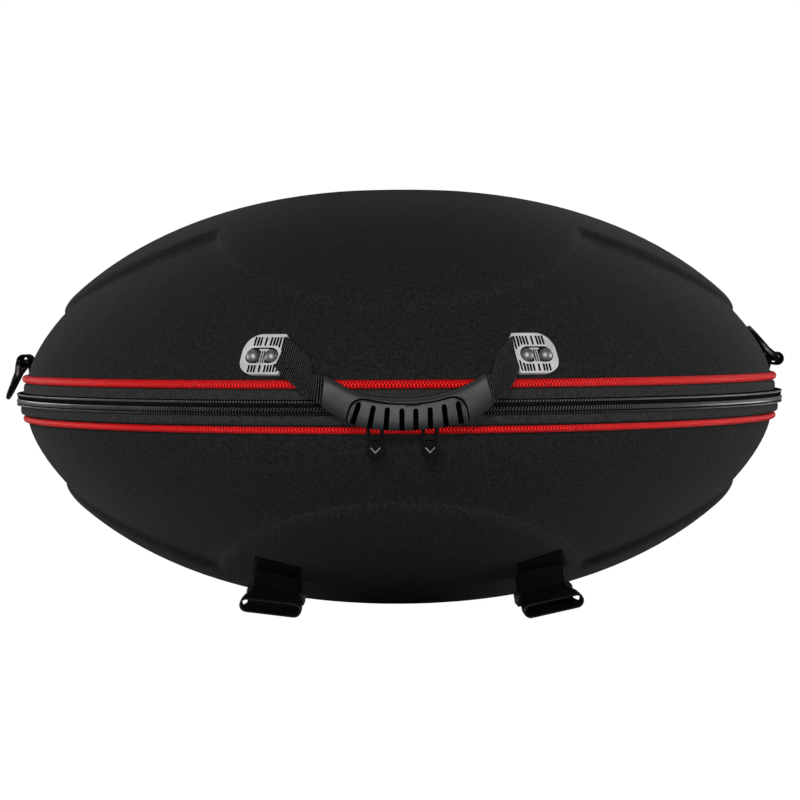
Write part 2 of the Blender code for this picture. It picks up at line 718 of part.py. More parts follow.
def grip_frame(share):
    small = 0.01
    along = grip_path(share + small) - grip_path(share - small)
    return path_frame(grip_path(share), along.normalized())


def section(frame, tall, deep, corner):
    """A rounded section across a frame's X, with 12 points."""
    outline = rounded_outline(deep, tall, (corner,) * 4, arc_steps=2)
    return [frame @ Vector((0.0, y, x)) for x, y in outline]


def make_grip(material, body):
    """A moulded sleeve with flared collars, a bore for the folded webbing and slots open at the bottom."""
    shares = (-1, -0.93, -0.9, -0.75, -0.5, -0.25, 0, 0.25, 0.5, 0.75, 0.9, 0.93, 1)
    outside = []
    for share in shares:
        flare = GRIP_COLLAR if abs(share) > 0.92 else 0.0
        size = (GRIP_TALL + 2 * flare, GRIP_DEPTH + flare)
        outside.append(section(grip_frame(share), *size, 0.35 * GRIP_DEPTH))
    tall, deep = (size + 2 * GRIP_BORE_CLEARANCE for size in STRAP_FOLDED)
    bore = [section(grip_frame(1 - i / 4), tall, deep, STRAP_EDGE) for i in range(9)]
    grip = add_piece("handle_grip", loft(outside + bore, joined=True), material, body)
    combine(grip, add_helper("grip_slot_shapes", grip_slots(), body), "DIFFERENCE")


def grip_slots():
    shapes = []
    for index in range(GRIP_SLOTS):
        x = (index - (GRIP_SLOTS - 1) / 2) * GRIP_SLOT_PITCH
        frame = grip_frame(x / GRIP_HALF_LENGTH)
        low = (-GRIP_SLOT_WIDTH / 2, -GRIP_TALL, GRIP_DEPTH / 2 - GRIP_SLOT_DEPTH)
        high = (GRIP_SLOT_WIDTH / 2, GRIP_SLOT_TOP, GRIP_DEPTH)
        shapes.append(box(low, high, frame))
    return merged(*shapes)


def strap_run(sign):
    """Sections of the webbing's free run, from its pivot out to the grip's end."""
    pivot = pivot_point()
    start = Vector((sign * pivot.x, pivot.y, pivot.z))
    end = grip_path(sign)
    tall, thick = STRAP_FOLDED
    along = (end - start).normalized() * -sign
    rings = []
    for share, wide, deep in ((0.0, STRAP_END, STRAP_END), (0.2, STRAP_END, STRAP_END), (0.6, tall, thick)):
        centre = start.lerp(end, share) - Vector((0.0, STRAP_BOW * math.sin(math.pi * share), 0.0))
        frame = path_frame(centre, Vector((1.0, 0.0, 0.0)) if share == 0 else along)
        rings.append(section(frame, wide, deep, STRAP_EDGE))
    return rings


def make_strap(material, body):
    """One length of webbing from plate to plate. It is folded on itself inside the grip."""
    inside = [section(grip_frame(-1 + i / 4), *STRAP_FOLDED, STRAP_EDGE) for i in range(9)]
    add_piece("handle_strap", loft(strap_run(-1) + inside + strap_run(1)[::-1]), material, body)


# D-rings

def ring_eye(sign):
    return Vector((sign * (SHELL_RADIUS + RING_EYE_STANDOFF), 0.0, SEAM_HEIGHT + RING_EYE_HEIGHT))


def eye_outlines(radius, wall, feet):
    """A webbing loop seen from its side: outline with two feet, and the hole that a bar goes through."""
    count = 12
    (x0, y0), (x1, y1) = feet
    towards = math.atan2((y0 + y1) / 2, (x0 + x1) / 2)
    feet = sorted(feet, key=lambda foot: (math.atan2(foot[1], foot[0]) - towards + math.pi) % (2 * math.pi))
    angles = [towards + math.pi / 4 + 1.5 * math.pi * i / (count - 3) for i in range(count - 2)]
    outer = [((radius + wall) * math.cos(a), (radius + wall) * math.sin(a)) for a in angles]
    outer += feet
    turns = angles + [towards - math.pi / 12, towards + math.pi / 12]
    inner = [(radius * math.cos(a), radius * math.sin(a)) for a in turns]
    return outer, inner


def make_ring_tab(where, sign, material, body, seat):
    """A loop of webbing sewn in above the piping. The ring's bar lies in it."""
    eye = ring_eye(sign)
    low = GROOVE_TOP + CLEARANCE
    feet = []
    for height, out in ((low + RING_TAB_FOOT, -SEAT_OVERLAP), (low, CLEARANCE + RING_EYE_WALL)):
        radius = dome(slope_at_height(low))[0] + out
        feet.append((radius - abs(eye.x), SEAM_HEIGHT + height - eye.z))
    outer, inner = eye_outlines(RING_EYE_RADIUS, RING_EYE_WALL, feet)
    frame = Matrix.Translation(eye) @ Matrix(((sign, 0, 0), (0, 0, -sign), (0, 1, 0))).to_4x4()
    half = RING_TAB_WIDTH / 2
    tab = add_piece(f"d_ring_tab_{where}", frame_of_slots(outer, inner, -half, half, frame), material, body)
    combine(tab, seat, "DIFFERENCE")


def ring_outline(margin):
    """A D seen flat: a straight bar along X at the top and a bow below it, drawn in by a margin."""
    half = RING_WIDTH / 2 - margin
    top = RING_BAR / 2 if margin == 0 else -RING_BAR / 2
    tip = RING_LENGTH - RING_BAR / 2 - margin
    straight = RING_STRAIGHT
    bow = [(-half * math.cos(a), -straight - (tip - straight) * math.sin(a)) for a in
           [math.pi * i / 14 for i in range(15)]]
    return [(half, top), (0.0, top), (-half, top)] + bow


def make_ring(where, sign, material, body):
    """Hangs from its bar. The hang angle runs outwards from straight down."""
    hang = math.radians(RING_HANG[where])
    tilt = Matrix.Rotation(-sign * hang, 4, "Y")
    stand = Matrix(((0, 0, 1), (1, 0, 0), (0, 1, 0))).to_4x4()
    frame = Matrix.Translation(ring_eye(sign)) @ tilt @ stand
    shape = frame_of_slots(ring_outline(0.0), ring_outline(RING_SIDE), -RING_BAR / 2, RING_BAR / 2, frame)
    add_piece(f"d_ring_{where}", shape, material, body, smooth=False)


# Strap buckles

def tab_place(where):
    """The surface under a buckle's tab, with across along the webbing's width."""
    azimuth, inset, _, _, _, heading = BUCKLES[where]
    slope = slope_at_radius(SHELL_RADIUS - inset)
    return on_shell(-1, math.radians(azimuth), slope, math.radians(heading - azimuth))


def bar_place(where):
    """The middle of a buckle's bar."""
    azimuth, inset, drop, *_ = BUCKLES[where]
    radius, height = dome(slope_at_radius(SHELL_RADIUS - inset))
    return polar(math.radians(azimuth), radius, height + drop, -1)


def bar_frame(where):
    """A matrix on the buckle's bar: X along the bar and Y level."""
    _, _, _, heading, tilt, _ = BUCKLES[where]
    turn = Matrix.Rotation(math.radians(heading), 4, "Z") @ Matrix.Rotation(math.radians(tilt), 4, "Y")
    return Matrix.Translation(bar_place(where)) @ turn


def buckle_frame(where):
    """The bar's matrix drooped, so that -Y points out of the buckle's mouth."""
    return bar_frame(where) @ Matrix.Rotation(math.radians(BUCKLE_DROOP), 4, "X")


def make_buckle(where, material, body):
    """Socket half of a side-release buckle: bar, webbing slot, mouth and side windows."""
    frame = buckle_frame(where)
    bar, thin, thick = BUCKLE_BAR / 2, BUCKLE_FRAME_THICKNESS / 2, BUCKLE_THICKNESS / 2
    front, slot = bar - BUCKLE_LENGTH, -bar - BUCKLE_SLOT
    shoulder = slot - BUCKLE_THICKNESS / 3
    profile = [(bar, bar), (slot, thin), (shoulder, thick), (front, thick)]
    profile += [(y, -z) for y, z in reversed(profile)]
    half = BUCKLE_WIDTH / 2
    waist = ((-half, 0.75), (-half + BUCKLE_SIDE / 2, 1.0), (half - BUCKLE_SIDE / 2, 1.0), (half, 0.75))
    rings = [[frame @ Vector((x, y, z * share)) for y, z in profile] for x, share in waist]
    buckle = add_piece(f"buckle_{where}", loft(rings), material, body, smooth=False)
    wide, tall, deep = BUCKLE_MOUTH
    mouth = box((-wide / 2, front - deep, -tall / 2), (wide / 2, front + deep, tall / 2), frame)
    inner = half - BUCKLE_SIDE
    webbing = box((-inner, slot, -thick), (inner, -bar, thick), frame)
    wide, tall, setback = BUCKLE_WINDOW
    window = box((-2 * half, front + setback, -tall / 2), (2 * half, front + setback + wide, tall / 2), frame)
    combine(buckle, add_helper(f"buckle_slot_{where}", webbing, body), "DIFFERENCE")
    combine(buckle, add_helper(f"buckle_mouth_{where}", mouth, body), "DIFFERENCE")
    combine(buckle, add_helper(f"buckle_window_{where}", window, body), "DIFFERENCE")


def make_buckle_tab(where, material, body, seat_shape):
    """A patch of doubled webbing sewn on a petal, with a loop under it round the buckle's bar."""
    place = tab_place(where)
    seat = PETAL_HEIGHT + CLEARANCE
    outline = rounded_outline(TAB_WIDTH, TAB_LENGTH, (TAB_CORNER,) * 4, arc_steps=1)
    outline = [(across, along - TAB_LEAD) for across, along in outline]
    patch = slab(outline, seat - SEAT_OVERLAP, seat + TAB_THICKNESS, place)
    tab = add_piece(f"buckle_tab_{where}", patch, material, body)
    frame = bar_frame(where)
    feet = []
    for way in (-1, 1):
        point = frame.inverted() @ place(0.0, way * TAB_FOOT / 2, seat + TAB_THICKNESS / 2)
        feet.append((point.y, point.z))
    outer, inner = eye_outlines(BUCKLE_EYE_RADIUS, BUCKLE_EYE_WALL, feet)
    side_on = frame @ Matrix(((0, 0, 1), (1, 0, 0), (0, 1, 0))).to_4x4()
    half = TAB_WIDTH / 2
    loop = add_helper(f"buckle_loop_{where}", frame_of_slots(outer, inner, -half, half, side_on), body)
    combine(tab, loop, "UNION")
    combine(tab, seat_shape, "DIFFERENCE")


# Assembly

def make_lower_half(materials):
    make_shell("lower_shell", -1, materials["shell"], None)
    make_liner("lower_liner", -1, materials["liner"], None)
    make_cushion("lower_rim_cushion", -1, materials["cushion"], None)
    make_piping("lower_piping", -1, materials["piping"], None)
    make_rim_trim(-1, materials, None)
    seat = outer_seat(-1, None)
    for where in BUCKLES:
        make_buckle_tab(where, materials["webbing"], None, seat)
        swing = make_body(f"buckle_swing_{where}", bar_place(where))
        make_buckle(where, materials["buckle"], swing)


def make_upper_half(materials):
    lid = make_body("lid", Vector((0.0, HINGE_AXIS_RADIUS, SEAM_HEIGHT)))
    holes = rivet_hole_cutter(lid)
    shell = make_shell("upper_shell", 1, materials["shell"], lid)
    liner = make_liner("upper_liner", 1, materials["liner"], lid)
    for piece in (shell, liner):
        combine(piece, holes, "DIFFERENCE")
    make_cushion("upper_rim_cushion", 1, materials["cushion"], lid)
    make_piping("upper_piping", 1, materials["piping"], lid)
    make_rim_trim(1, materials, lid)
    seats = {"outer": outer_seat(1, lid), "inner": inner_seat(1, lid)}
    for where in ("left", "right"):
        make_plate(where, materials, lid, seats, holes)
        make_rivets(where, materials["metal"], lid)
    for where, sign in (("left", -1), ("right", 1)):
        make_ring_tab(where, sign, materials["webbing"], lid, seats["outer"])
        make_ring(where, sign, materials["buckle"], make_body(f"d_ring_swing_{where}", ring_eye(sign), lid))
    pivot = pivot_point()
    handle = make_body("handle", Vector((0.0, pivot.y, pivot.z)), lid)
    make_strap(materials["webbing"], handle)
    make_grip(materials["grip"], handle)


def make_zip_sliders(materials):
    for where, azimuth in SLIDER_AZIMUTHS.items():
        travel = make_body(f"slider_travel_{where}", Vector((0.0, 0.0, SEAM_HEIGHT)))
        make_slider(where, azimuth, materials["metal"], travel)
        stud = slider_frame(azimuth) @ Vector((0.0, 0.0, PULL_INNER))
        make_pull(where, azimuth, materials["metal"], make_body(f"pull_swing_{where}", stud, travel))


def main():
    clear_scene()
    materials = make_materials()
    make_lower_half(materials)
    make_upper_half(materials)
    make_zip_sliders(materials)


main()
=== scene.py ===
"""Looks of the handpan hard case: fabric shells, braided piping, zip, webbing handle, rings and buckles."""

import math
import bmesh
import bpy
import numpy as np
from mathutils import Matrix, Vector


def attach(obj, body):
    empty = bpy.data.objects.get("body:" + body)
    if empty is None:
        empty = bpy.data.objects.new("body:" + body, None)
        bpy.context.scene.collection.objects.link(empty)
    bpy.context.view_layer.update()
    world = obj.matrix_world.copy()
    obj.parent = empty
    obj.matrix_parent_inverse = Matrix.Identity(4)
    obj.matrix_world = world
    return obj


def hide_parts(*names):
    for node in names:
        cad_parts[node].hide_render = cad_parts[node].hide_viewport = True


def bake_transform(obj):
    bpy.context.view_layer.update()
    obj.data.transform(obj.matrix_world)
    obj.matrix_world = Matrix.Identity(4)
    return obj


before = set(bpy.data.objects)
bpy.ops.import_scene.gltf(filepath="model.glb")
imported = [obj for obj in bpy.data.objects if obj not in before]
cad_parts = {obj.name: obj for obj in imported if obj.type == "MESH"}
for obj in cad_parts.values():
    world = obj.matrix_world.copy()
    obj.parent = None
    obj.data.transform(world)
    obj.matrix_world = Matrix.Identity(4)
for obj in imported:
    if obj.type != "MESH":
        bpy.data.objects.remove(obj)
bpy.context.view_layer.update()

# Lengths are metres and angles degrees. Azimuth 0 is the front, -Y, and grows towards +X.
# Heights named from the seam are measured away from the seam plane, up or down.
CLEARANCE = 0.0003
SIDES = (("left", -1), ("right", 1))

# Azimuths of the shells' columns of points, in radians
SEGMENTS = 288
TURNS = np.arange(SEGMENTS) * 2 * math.pi / SEGMENTS

# Moulded shells
SHELL_RADIUS = 0.3047
RIM_STRAIGHT = 0.0155
DOME_RISE = 0.1488
DOME_SIDE_POWER = 1.5
DOME_TOP_POWER = 2.3
WALL = 0.006
SEAM_GAP = 0.0002
PETAL_INSET = 0.0288
PETAL_HEIGHT = 0.0047
PETAL_EDGE = 0.013
PETAL_FILLET = 0.07
PETAL_SOFT_CORNER = 40
DISC_RADIUS = 0.059
DISC_RISE = 0.0018
DISC_CROWN = 0.0030
DISC_EDGE = 0.0022
FOOT_RISE = 0.0022
GROOVE_WIDTH = 0.009
GROOVE_DEPTH = 0.003
LINER_THICKNESS = 0.003
CUSHION_WIDTH = 0.0271
CUSHION_DEPTH = 0.016
CUSHION_SETBACK = 0.003
CUSHION_CORNER = 0.005
BACKING_THICKNESS = 0.002
BOWL_SLOPES = (0, 5, 11, 17, 24, 32, 40, 48, 57, 66, 75, 83, 90)

# Piping, tapes and zip
PIPING_RADIUS = 0.003
PIPING_HEIGHT = 0.0159
PIPING_SINK = 0.0017
PIPING_FULLNESS = {1: 1.05, -1: 0.85}
FLANGE_STEP = 0.0010
UPPER_TAPE = 0.0020
LOWER_TAPE = 0.0044
COIL_DEPTH = 0.0055
COIL_HEIGHT = 0.0051
ZIP_REACH = 150.0
TOOTH_PITCH = 0.0022
HINGE_THICKNESS = 0.0036
FOLD_REACH = 12.0

SEAM_HEIGHT = RIM_STRAIGHT + DOME_RISE + FOOT_RISE
GROOVE_RADIUS = SHELL_RADIUS - PIPING_SINK - CLEARANCE
PIPING_CENTRE = SHELL_RADIUS - PIPING_SINK + PIPING_RADIUS
FLANGE_RADIUS = SHELL_RADIUS + FLANGE_STEP
FLANGE_TOP = PIPING_HEIGHT - PIPING_RADIUS - CLEARANCE
GROOVE_TOP = PIPING_HEIGHT + PIPING_RADIUS + CLEARANCE
TAPE_RADIUS = FLANGE_RADIUS + CLEARANCE
COIL_RADIUS = TAPE_RADIUS + UPPER_TAPE + CLEARANCE
ZIP_RADIUS = COIL_RADIUS + COIL_DEPTH
STITCH_RADIUS = ZIP_RADIUS - 0.0013
TAPE_TOP = FLANGE_TOP - CLEARANCE
HINGE_OUT = TAPE_RADIUS + HINGE_THICKNESS
LINER_OFFSET = -WALL - CLEARANCE
BACKING_OFFSET = LINER_OFFSET - LINER_THICKNESS - CLEARANCE

# The outer edge of the hinge's cloth where it is sewn down: (radius, height)
HINGE_SHOULDER = [(TAPE_RADIUS, TAPE_TOP), (HINGE_OUT - 0.0012, 0.93 * TAPE_TOP),
                  (HINGE_OUT - 0.0003, 0.75 * TAPE_TOP)]

# The cord under the zip's stitches: (depth below the zip's face, share of the row's height)
COIL_CORE = ((0.0009, 0.20), (0.0009, 0.45), (0.0016, 0.56), (0.0016, 0.60), (0.0008, 0.70), (0.0010, 0.90))

# Stitches of the zip's rows: (height, shift) of both ends and half the width
STITCHES = {
    1: [((0.0030, -0.0004), (0.0047, 0.0004), 0.00058)],
    -1: [((-0.0001, 0.0007), (0.0031, -0.0007), 0.00036),
         ((0.0038, 0.0003), (0.0050, -0.0003), 0.00020)],
}
STITCH_SECTION = [(-1.0, 0.0), (-0.6, 0.0008), (0.0, 0.0011), (0.6, 0.0008), (1.0, 0.0)]

# Camera of the photograph
CAMERA_DISTANCE = 1.7382
CAMERA_HEIGHT = 0.0488
CAMERA_LENS = 93.9
CAMERA_PITCH = 1.748
CAMERA_ROLL = 0.2956
CAMERA_SHIFT = 0.00074


# Meshes

class Skin:
    """Collects patches of quads, with cloth coordinates in metres, and makes one mesh of them."""

    def __init__(self):
        self.points = []
        self.faces = []
        self.cloth = []

    def patch(self, points, cloth=None, wrap=False):
        """Points run rows by columns by 3. Wrap joins the last column to the first."""
        points = np.asarray(points, float)
        rows, columns = points.shape[:2]
        start = len(self.points)
        self.points.extend(map(tuple, points.reshape(-1, 3)))
        across = columns if wrap else columns - 1
        if cloth is None:
            cloth = arc_cloth(points, wrap)
        for i in range(rows - 1):
            for j in range(across):
                k = (j + 1) % columns
                corners = ((i, j, j), (i, k, j + 1), (i + 1, k, j + 1), (i + 1, j, j))
                self.faces.append([start + row * columns + column for row, column, _ in corners])
                self.cloth.extend(tuple(cloth[row][place]) for row, _, place in corners)
        return self

    def cap(self, ring):
        """A flat end over a ring of points."""
        ring = np.asarray(ring, float)
        return self.patch([ring, np.broadcast_to(ring.mean(axis=0), ring.shape)], wrap=True)

    def tube(self, rows, cloth=None):
        """Rows of closed rings, with both ends capped."""
        return self.patch(rows, cloth, wrap=True).cap(rows[0]).cap(rows[-1])

    def build(self, name, material, angle=40.0):
        mesh = bpy.data.meshes.new(name)
        mesh.from_pydata(self.points, [], self.faces)
        layer = mesh.uv_layers.new(name="cloth")
        layer.data.foreach_set("uv", np.array(self.cloth, np.float32).ravel())
        bm = bmesh.new()
        bm.from_mesh(mesh)
        bmesh.ops.remove_doubles(bm, verts=bm.verts, dist=2e-6)
        bmesh.ops.dissolve_degenerate(bm, edges=bm.edges, dist=1e-7)
        fill_mesh(mesh, bm)
        shade(mesh, angle)
        mesh.materials.append(material)
        return add_object(name, mesh)


def fill_mesh(mesh, bm):
    """Moves a bmesh into a mesh, with its faces turned outwards."""
    bmesh.ops.recalc_face_normals(bm, faces=bm.faces)
    if bm.calc_volume(signed=True) < 0:
        bmesh.ops.reverse_faces(bm, faces=bm.faces)
    bm.to_mesh(mesh)
    bm.free()


def shade(mesh, angle):
    """Smooth, with sharp edges where faces meet at more than an angle in degrees."""
    mesh.shade_smooth()
    mesh.set_sharp_from_angle(angle=math.radians(angle))


def add_object(name, data):
    obj = bpy.data.objects.new(name, data)
    bpy.context.scene.collection.objects.link(obj)
    return obj


def path_lengths(points):
    """The length along a path up to each of its points."""
    steps = np.linalg.norm(np.diff(points, axis=0), axis=1)
    return np.concatenate([[0.0], np.cumsum(steps)])


def cloth_grid(length, width):
    return np.stack(np.meshgrid(length, width, indexing="ij"), axis=2)


def moved(matrix, points):
    return [tuple(matrix @ Vector(point)) for point in points]


def shifted(outline, right, up):
    return [(x + right, y + up) for x, y in outline]


def arc_cloth(points, wrap):
    """Cloth coordinates that follow the patch's own arc lengths."""
    across = np.concatenate([points, points[:, :1]], axis=1) if wrap else points
    u = np.zeros(across.shape[:2])
    u[:, 1:] = np.cumsum(np.linalg.norm(np.diff(across, axis=1), axis=2), axis=1)
    v = np.zeros(across.shape[:2])
    v[1:] = np.cumsum(np.linalg.norm(np.diff(across, axis=0), axis=2), axis=0)
    return np.stack([u, v], axis=2)


def finish_piece(obj, node, body):
    """Puts a piece on its body, in place of its CAD node."""
    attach(obj, body)
    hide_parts(node)


def cut(obj, shapes, inside=None):
    """Cuts closed bmeshes out of an object. The cut faces take the material called inside, when given."""
    cutters = []
    for bm in shapes:
        mesh = bpy.data.meshes.new("cutter")
        fill_mesh(mesh, bm)
        cutters.append(add_object("cutter", mesh))
        modifier = obj.modifiers.new("cut", "BOOLEAN")
        modifier.operation = "DIFFERENCE"
        modifier.object = cutters[-1]
        if inside is not None:
            mesh.materials.append(inside)
            modifier.material_mode = "TRANSFER"
    bpy.context.view_layer.update()
    graph = bpy.context.evaluated_depsgraph_get()
    left_over = bpy.data.meshes.new_from_object(obj.evaluated_get(graph), depsgraph=graph)
    obj.modifiers.clear()
    obj.data = left_over
    for cutter in cutters:
        bpy.data.objects.remove(cutter, do_unlink=True)
    if not left_over.polygons:
        raise RuntimeError(f"{obj.name}: the cut left nothing")


def arc(centre, radius, start, end, steps):
    """(x, y) points along an arc between two angles in degrees."""
    angles = [math.radians(start + (end - start) * i / steps) for i in range(steps + 1)]
    return [(centre[0] + radius * math.cos(a), centre[1] + radius * math.sin(a)) for a in angles]


def circle(radius, count):
    return arc((0.0, 0.0), radius, 0, 360, count)[:-1]


def rounded_outline(width, height, corners, arc_steps=6):
    """Anticlockwise from the +X +Y corner. Corners is one radius, or four in that order."""
    radii = (corners,) * 4 if isinstance(corners, float) else corners
    points = []
    for index, (x, y) in enumerate(((1, 1), (-1, 1), (-1, -1), (1, -1))):
        radius = radii[index]
        centre = (x * (width / 2 - radius), y * (height / 2 - radius))
        points += arc(centre, radius, 90 * index, 90 * (index + 1), arc_steps)
    return points


def prism(outline, low, high, place):
    """A closed bmesh: an outline between two heights, through a function of (x, y, height)."""
    bm = bmesh.new()
    rows = [[bm.verts.new(place(x, y, height)) for x, y in outline] for height in (low, high)]
    bm.faces.new(rows[0])
    bm.faces.new(rows[1])
    count = len(outline)
    for i in range(count):
        j = (i + 1) % count
        bm.faces.new((rows[0][i], rows[0][j], rows[1][j], rows[1][i]))
    return bm


def through(matrix):
    """A place function for prism that uses a matrix."""
    return lambda x, y, height: matrix @ Vector((x, y, height))


def sweep(path, section, up):
    """Rows of points: a section of (side, up) pairs carried along a path of points."""
    path = np.asarray(path, float)
    last = len(path) - 1
    rows = []
    for i, point in enumerate(path):
        along = Vector(path[min(i + 1, last)] - path[max(i - 1, 0)]).normalized()
        side = along.cross(Vector(up)).normalized()
        top = side.cross(along)
        rows.append([tuple(Vector(point) + side * s + top * t) for s, t in section])
    return rows


def smooth_through(points, steps):
    """Catmull-Rom points through a list of points, with that many steps a span."""
    points = [np.asarray(p, float) for p in points]
    padded = [2 * points[0] - points[1], *points, 2 * points[-1] - points[-2]]
    result = []
    for i in range(len(points) - 1):
        a, b, c, d = padded[i:i + 4]
        for step in range(steps):
            t = step / steps
            result.append(0.5 * (2 * b + (c - a) * t + (2 * a - 5 * b + 4 * c - d) * t * t
                                 + (3 * b - a - 3 * c + d) * t**3))
    return np.array([*result, points[-1]])


# Shape of the shells

def dome(slope, offset=0.0):
    """Radius and height above the seam. Slope runs from 0 at the rim to a quarter turn on the axis."""
    slope = np.asarray(slope, float)
    radius = SHELL_RADIUS * np.maximum(np.cos(slope), 0.0) ** (2 / DOME_TOP_POWER)
    rise = DOME_RISE * np.maximum(np.sin(slope), 0.0) ** (2 / DOME_SIDE_POWER)
    out = DOME_TOP_POWER / SHELL_RADIUS * (radius / SHELL_RADIUS) ** (DOME_TOP_POWER - 1)
    up = DOME_SIDE_POWER / DOME_RISE * (rise / DOME_RISE) ** (DOME_SIDE_POWER - 1)
    length = np.hypot(out, up)
    return radius + offset * out / length, RIM_STRAIGHT + rise + offset * up / length


def slope_at_radius(radius):
    return np.arccos((radius / SHELL_RADIUS) ** (DOME_TOP_POWER / 2))


def slope_at_height(height):
    return np.arcsin(((height - RIM_STRAIGHT) / DOME_RISE) ** (DOME_SIDE_POWER / 2))


def length_per_slope(slope):
    step = 0.001
    (r0, z0), (r1, z1) = dome(slope - step), dome(slope + step)
    return np.hypot(r1 - r0, z1 - z0) / (2 * step)


def petal_slope():
    """Where the raised petals end: four circles in plan, with a soft corner where two of them meet."""
    power = PETAL_SOFT_CORNER
    reach = (np.abs(np.cos(TURNS)) ** power + np.abs(np.sin(TURNS)) ** power) ** (1 / power)
    return slope_at_radius((SHELL_RADIUS - PETAL_INSET) * reach)


def polar(azimuth, radius, height, side):
    return Vector((radius * math.sin(azimuth), -radius * math.cos(azimuth), SEAM_HEIGHT + side * height))


def on_shell(side, azimuth, slope, turn=0.0):
    """A function from (across, along, height) to a world point that follows the dome. Turn spins it flat."""
    per_slope = length_per_slope(slope)

    def place(across, along, height):
        u = across * math.cos(turn) - along * math.sin(turn)
        v = across * math.sin(turn) + along * math.cos(turn)
        there = slope + v / per_slope
        return polar(azimuth + u / dome(there)[0], *dome(there, height), side)

    return place


# Finishes

def feed(node, inputs):
    """Gives a node's inputs, by name or number, their values or the outputs of other nodes."""
    for name, value in inputs.items():
        if isinstance(value, bpy.types.NodeSocket):
            node.id_data.links.new(value, node.inputs[name])
        else:
            node.inputs[name].default_value = value
    return node


def math_node(nodes, operation, *values):
    node = nodes.new("ShaderNodeMath")
    node.operation = operation
    return feed(node, dict(enumerate(values))).outputs[0]


class Finish:
    """A procedural material under construction."""

    def __init__(self, name, roughness, metallic=0.0, sheen=0.0, specular=0.5):
        self.material = bpy.data.materials.new(name)
        self.material.use_nodes = True
        self.nodes = self.material.node_tree.nodes
        self.shader = feed(self.nodes["Principled BSDF"], {
            "Roughness": roughness, "Metallic": metallic, "Sheen Weight": sheen,
            "Sheen Roughness": 0.5, "Specular IOR Level": specular})

    def math(self, operation, *values):
        return math_node(self.nodes, operation, *values)

    def noise(self, scale, detail=2.0):
        place = self.nodes.new("ShaderNodeTexCoord").outputs["Object"]
        inputs = {"Scale": scale, "Detail": detail, "Vector": place}
        return feed(self.nodes.new("ShaderNodeTexNoise"), inputs).outputs["Fac"]

    def cloth(self):
        """The cloth coordinates, in metres: along the piece and across it."""
        uv = self.nodes.new("ShaderNodeUVMap")
        uv.uv_map = "cloth"
        parts = feed(self.nodes.new("ShaderNodeSeparateXYZ"), {0: uv.outputs["UV"]})
        return parts.outputs[0], parts.outputs[1]

    def wave(self, coordinate, pitch):
        return self.math("SINE", self.math("MULTIPLY", coordinate, 2 * math.pi / pitch))

    def ramp(self, factor, ends, low, high):
        """A factor mapped from or to two ends."""
        inputs = {f"{ends} Min": low, f"{ends} Max": high, "Value": factor}
        return feed(self.nodes.new("ShaderNodeMapRange"), inputs).outputs["Result"]

    def colour(self, factor, low, high, low_at=0.3, high_at=0.7):
        mix = self.nodes.new("ShaderNodeMix")
        mix.data_type = "RGBA"
        share = self.ramp(factor, "From", low_at, high_at)
        feed(mix, {"A": rgba(low), "B": rgba(high), "Factor": share})
        feed(self.shader, {"Base Color": mix.outputs["Result"]})

    def bump(self, height, distance):
        inputs = {"Strength": 1.0, "Distance": distance, "Height": height}
        feed(self.shader, {"Normal": feed(self.nodes.new("ShaderNodeBump"), inputs).outputs["Normal"]})

    def roughness(self, factor, low, high):
        feed(self.shader, {"Roughness": self.ramp(factor, "To", low, high)})


def rgba(colour):
    """One number is a grey."""
    return (colour, colour, colour, 1.0) if isinstance(colour, float) else (*colour, 1.0)


def woven_finish(name, low, high, pitch, depth, sheen):
    """Plain weave: threads over and under each other, with uneven yarn."""
    finish = Finish(name, 0.8, sheen=sheen, specular=0.0)
    u, v = finish.cloth()
    weave = finish.math("MULTIPLY", finish.wave(u, pitch), finish.wave(v, pitch))
    grain = finish.math("ADD", finish.noise(520.0, 3.0), finish.math("MULTIPLY", finish.noise(1500.0), 0.5))
    height = finish.math("ADD", finish.math("MULTIPLY", weave, 0.25), grain)
    finish.colour(height, low, high, 0.45, 1.05)
    finish.bump(height, depth)
    return finish.material


def ribbed_finish(name, low, high, pitch, depth, roughness):
    """Webbing with ribs across its length. Its colour is lighter on the rib crests and darker between them,
    painted highlight and painted shade, with random speckle.
    """
    finish = Finish(name, roughness, specular=0.05)
    u, v = finish.cloth()
    rib = finish.wave(u, pitch)
    thread = finish.wave(v, pitch * 0.75)
    height = finish.math("ADD", rib, finish.math("MULTIPLY", thread, 0.35))
    crest_highlight_and_speckle = finish.math("ADD", finish.math("MULTIPLY", height, 0.45), finish.noise(1200.0))
    finish.colour(crest_highlight_and_speckle, low, high, 0.64, 0.90)
    finish.bump(height, depth)
    return finish.material


def braid_finish(name, low, high, pitch):
    """Braid round a cord: two sets of strands that cross, so each shows as slanted stitches. Its colour is
    near-black between the strands and bright red on their tops, painted shade and painted highlight, with
    random unevenness.
    """
    finish = Finish(name, 0.5, specular=0.08)
    u, v = finish.cloth()
    lay = finish.math("MULTIPLY", v, 0.8)
    one_way = finish.wave(finish.math("ADD", u, lay), pitch)
    other_way = finish.wave(finish.math("SUBTRACT", u, lay), pitch)
    crossing = finish.math("MAXIMUM", one_way, other_way)
    height = finish.math("ADD", crossing, finish.math("MULTIPLY", one_way, 0.6))
    strand_shade_and_uneven = finish.math("ADD", height, finish.math("MULTIPLY", finish.noise(600.0), 0.5))
    finish.colour(strand_shade_and_uneven, low, high, 0.25, 1.3)
    finish.bump(height, 0.00016)
    return finish.material


def moulded_finish(name, low, high, roughness, grain=500.0, depth=0.00004, metallic=0.0, specular=0.5):
    """Smooth plastic, rubber or painted metal with a faint grain."""
    finish = Finish(name, roughness, metallic=metallic, specular=specular)
    finish.colour(finish.noise(60.0, 4.0), low, high)
    finish.bump(finish.noise(grain), depth)
    finish.roughness(finish.noise(90.0, 3.0), roughness - 0.06, roughness + 0.06)
    return finish.material


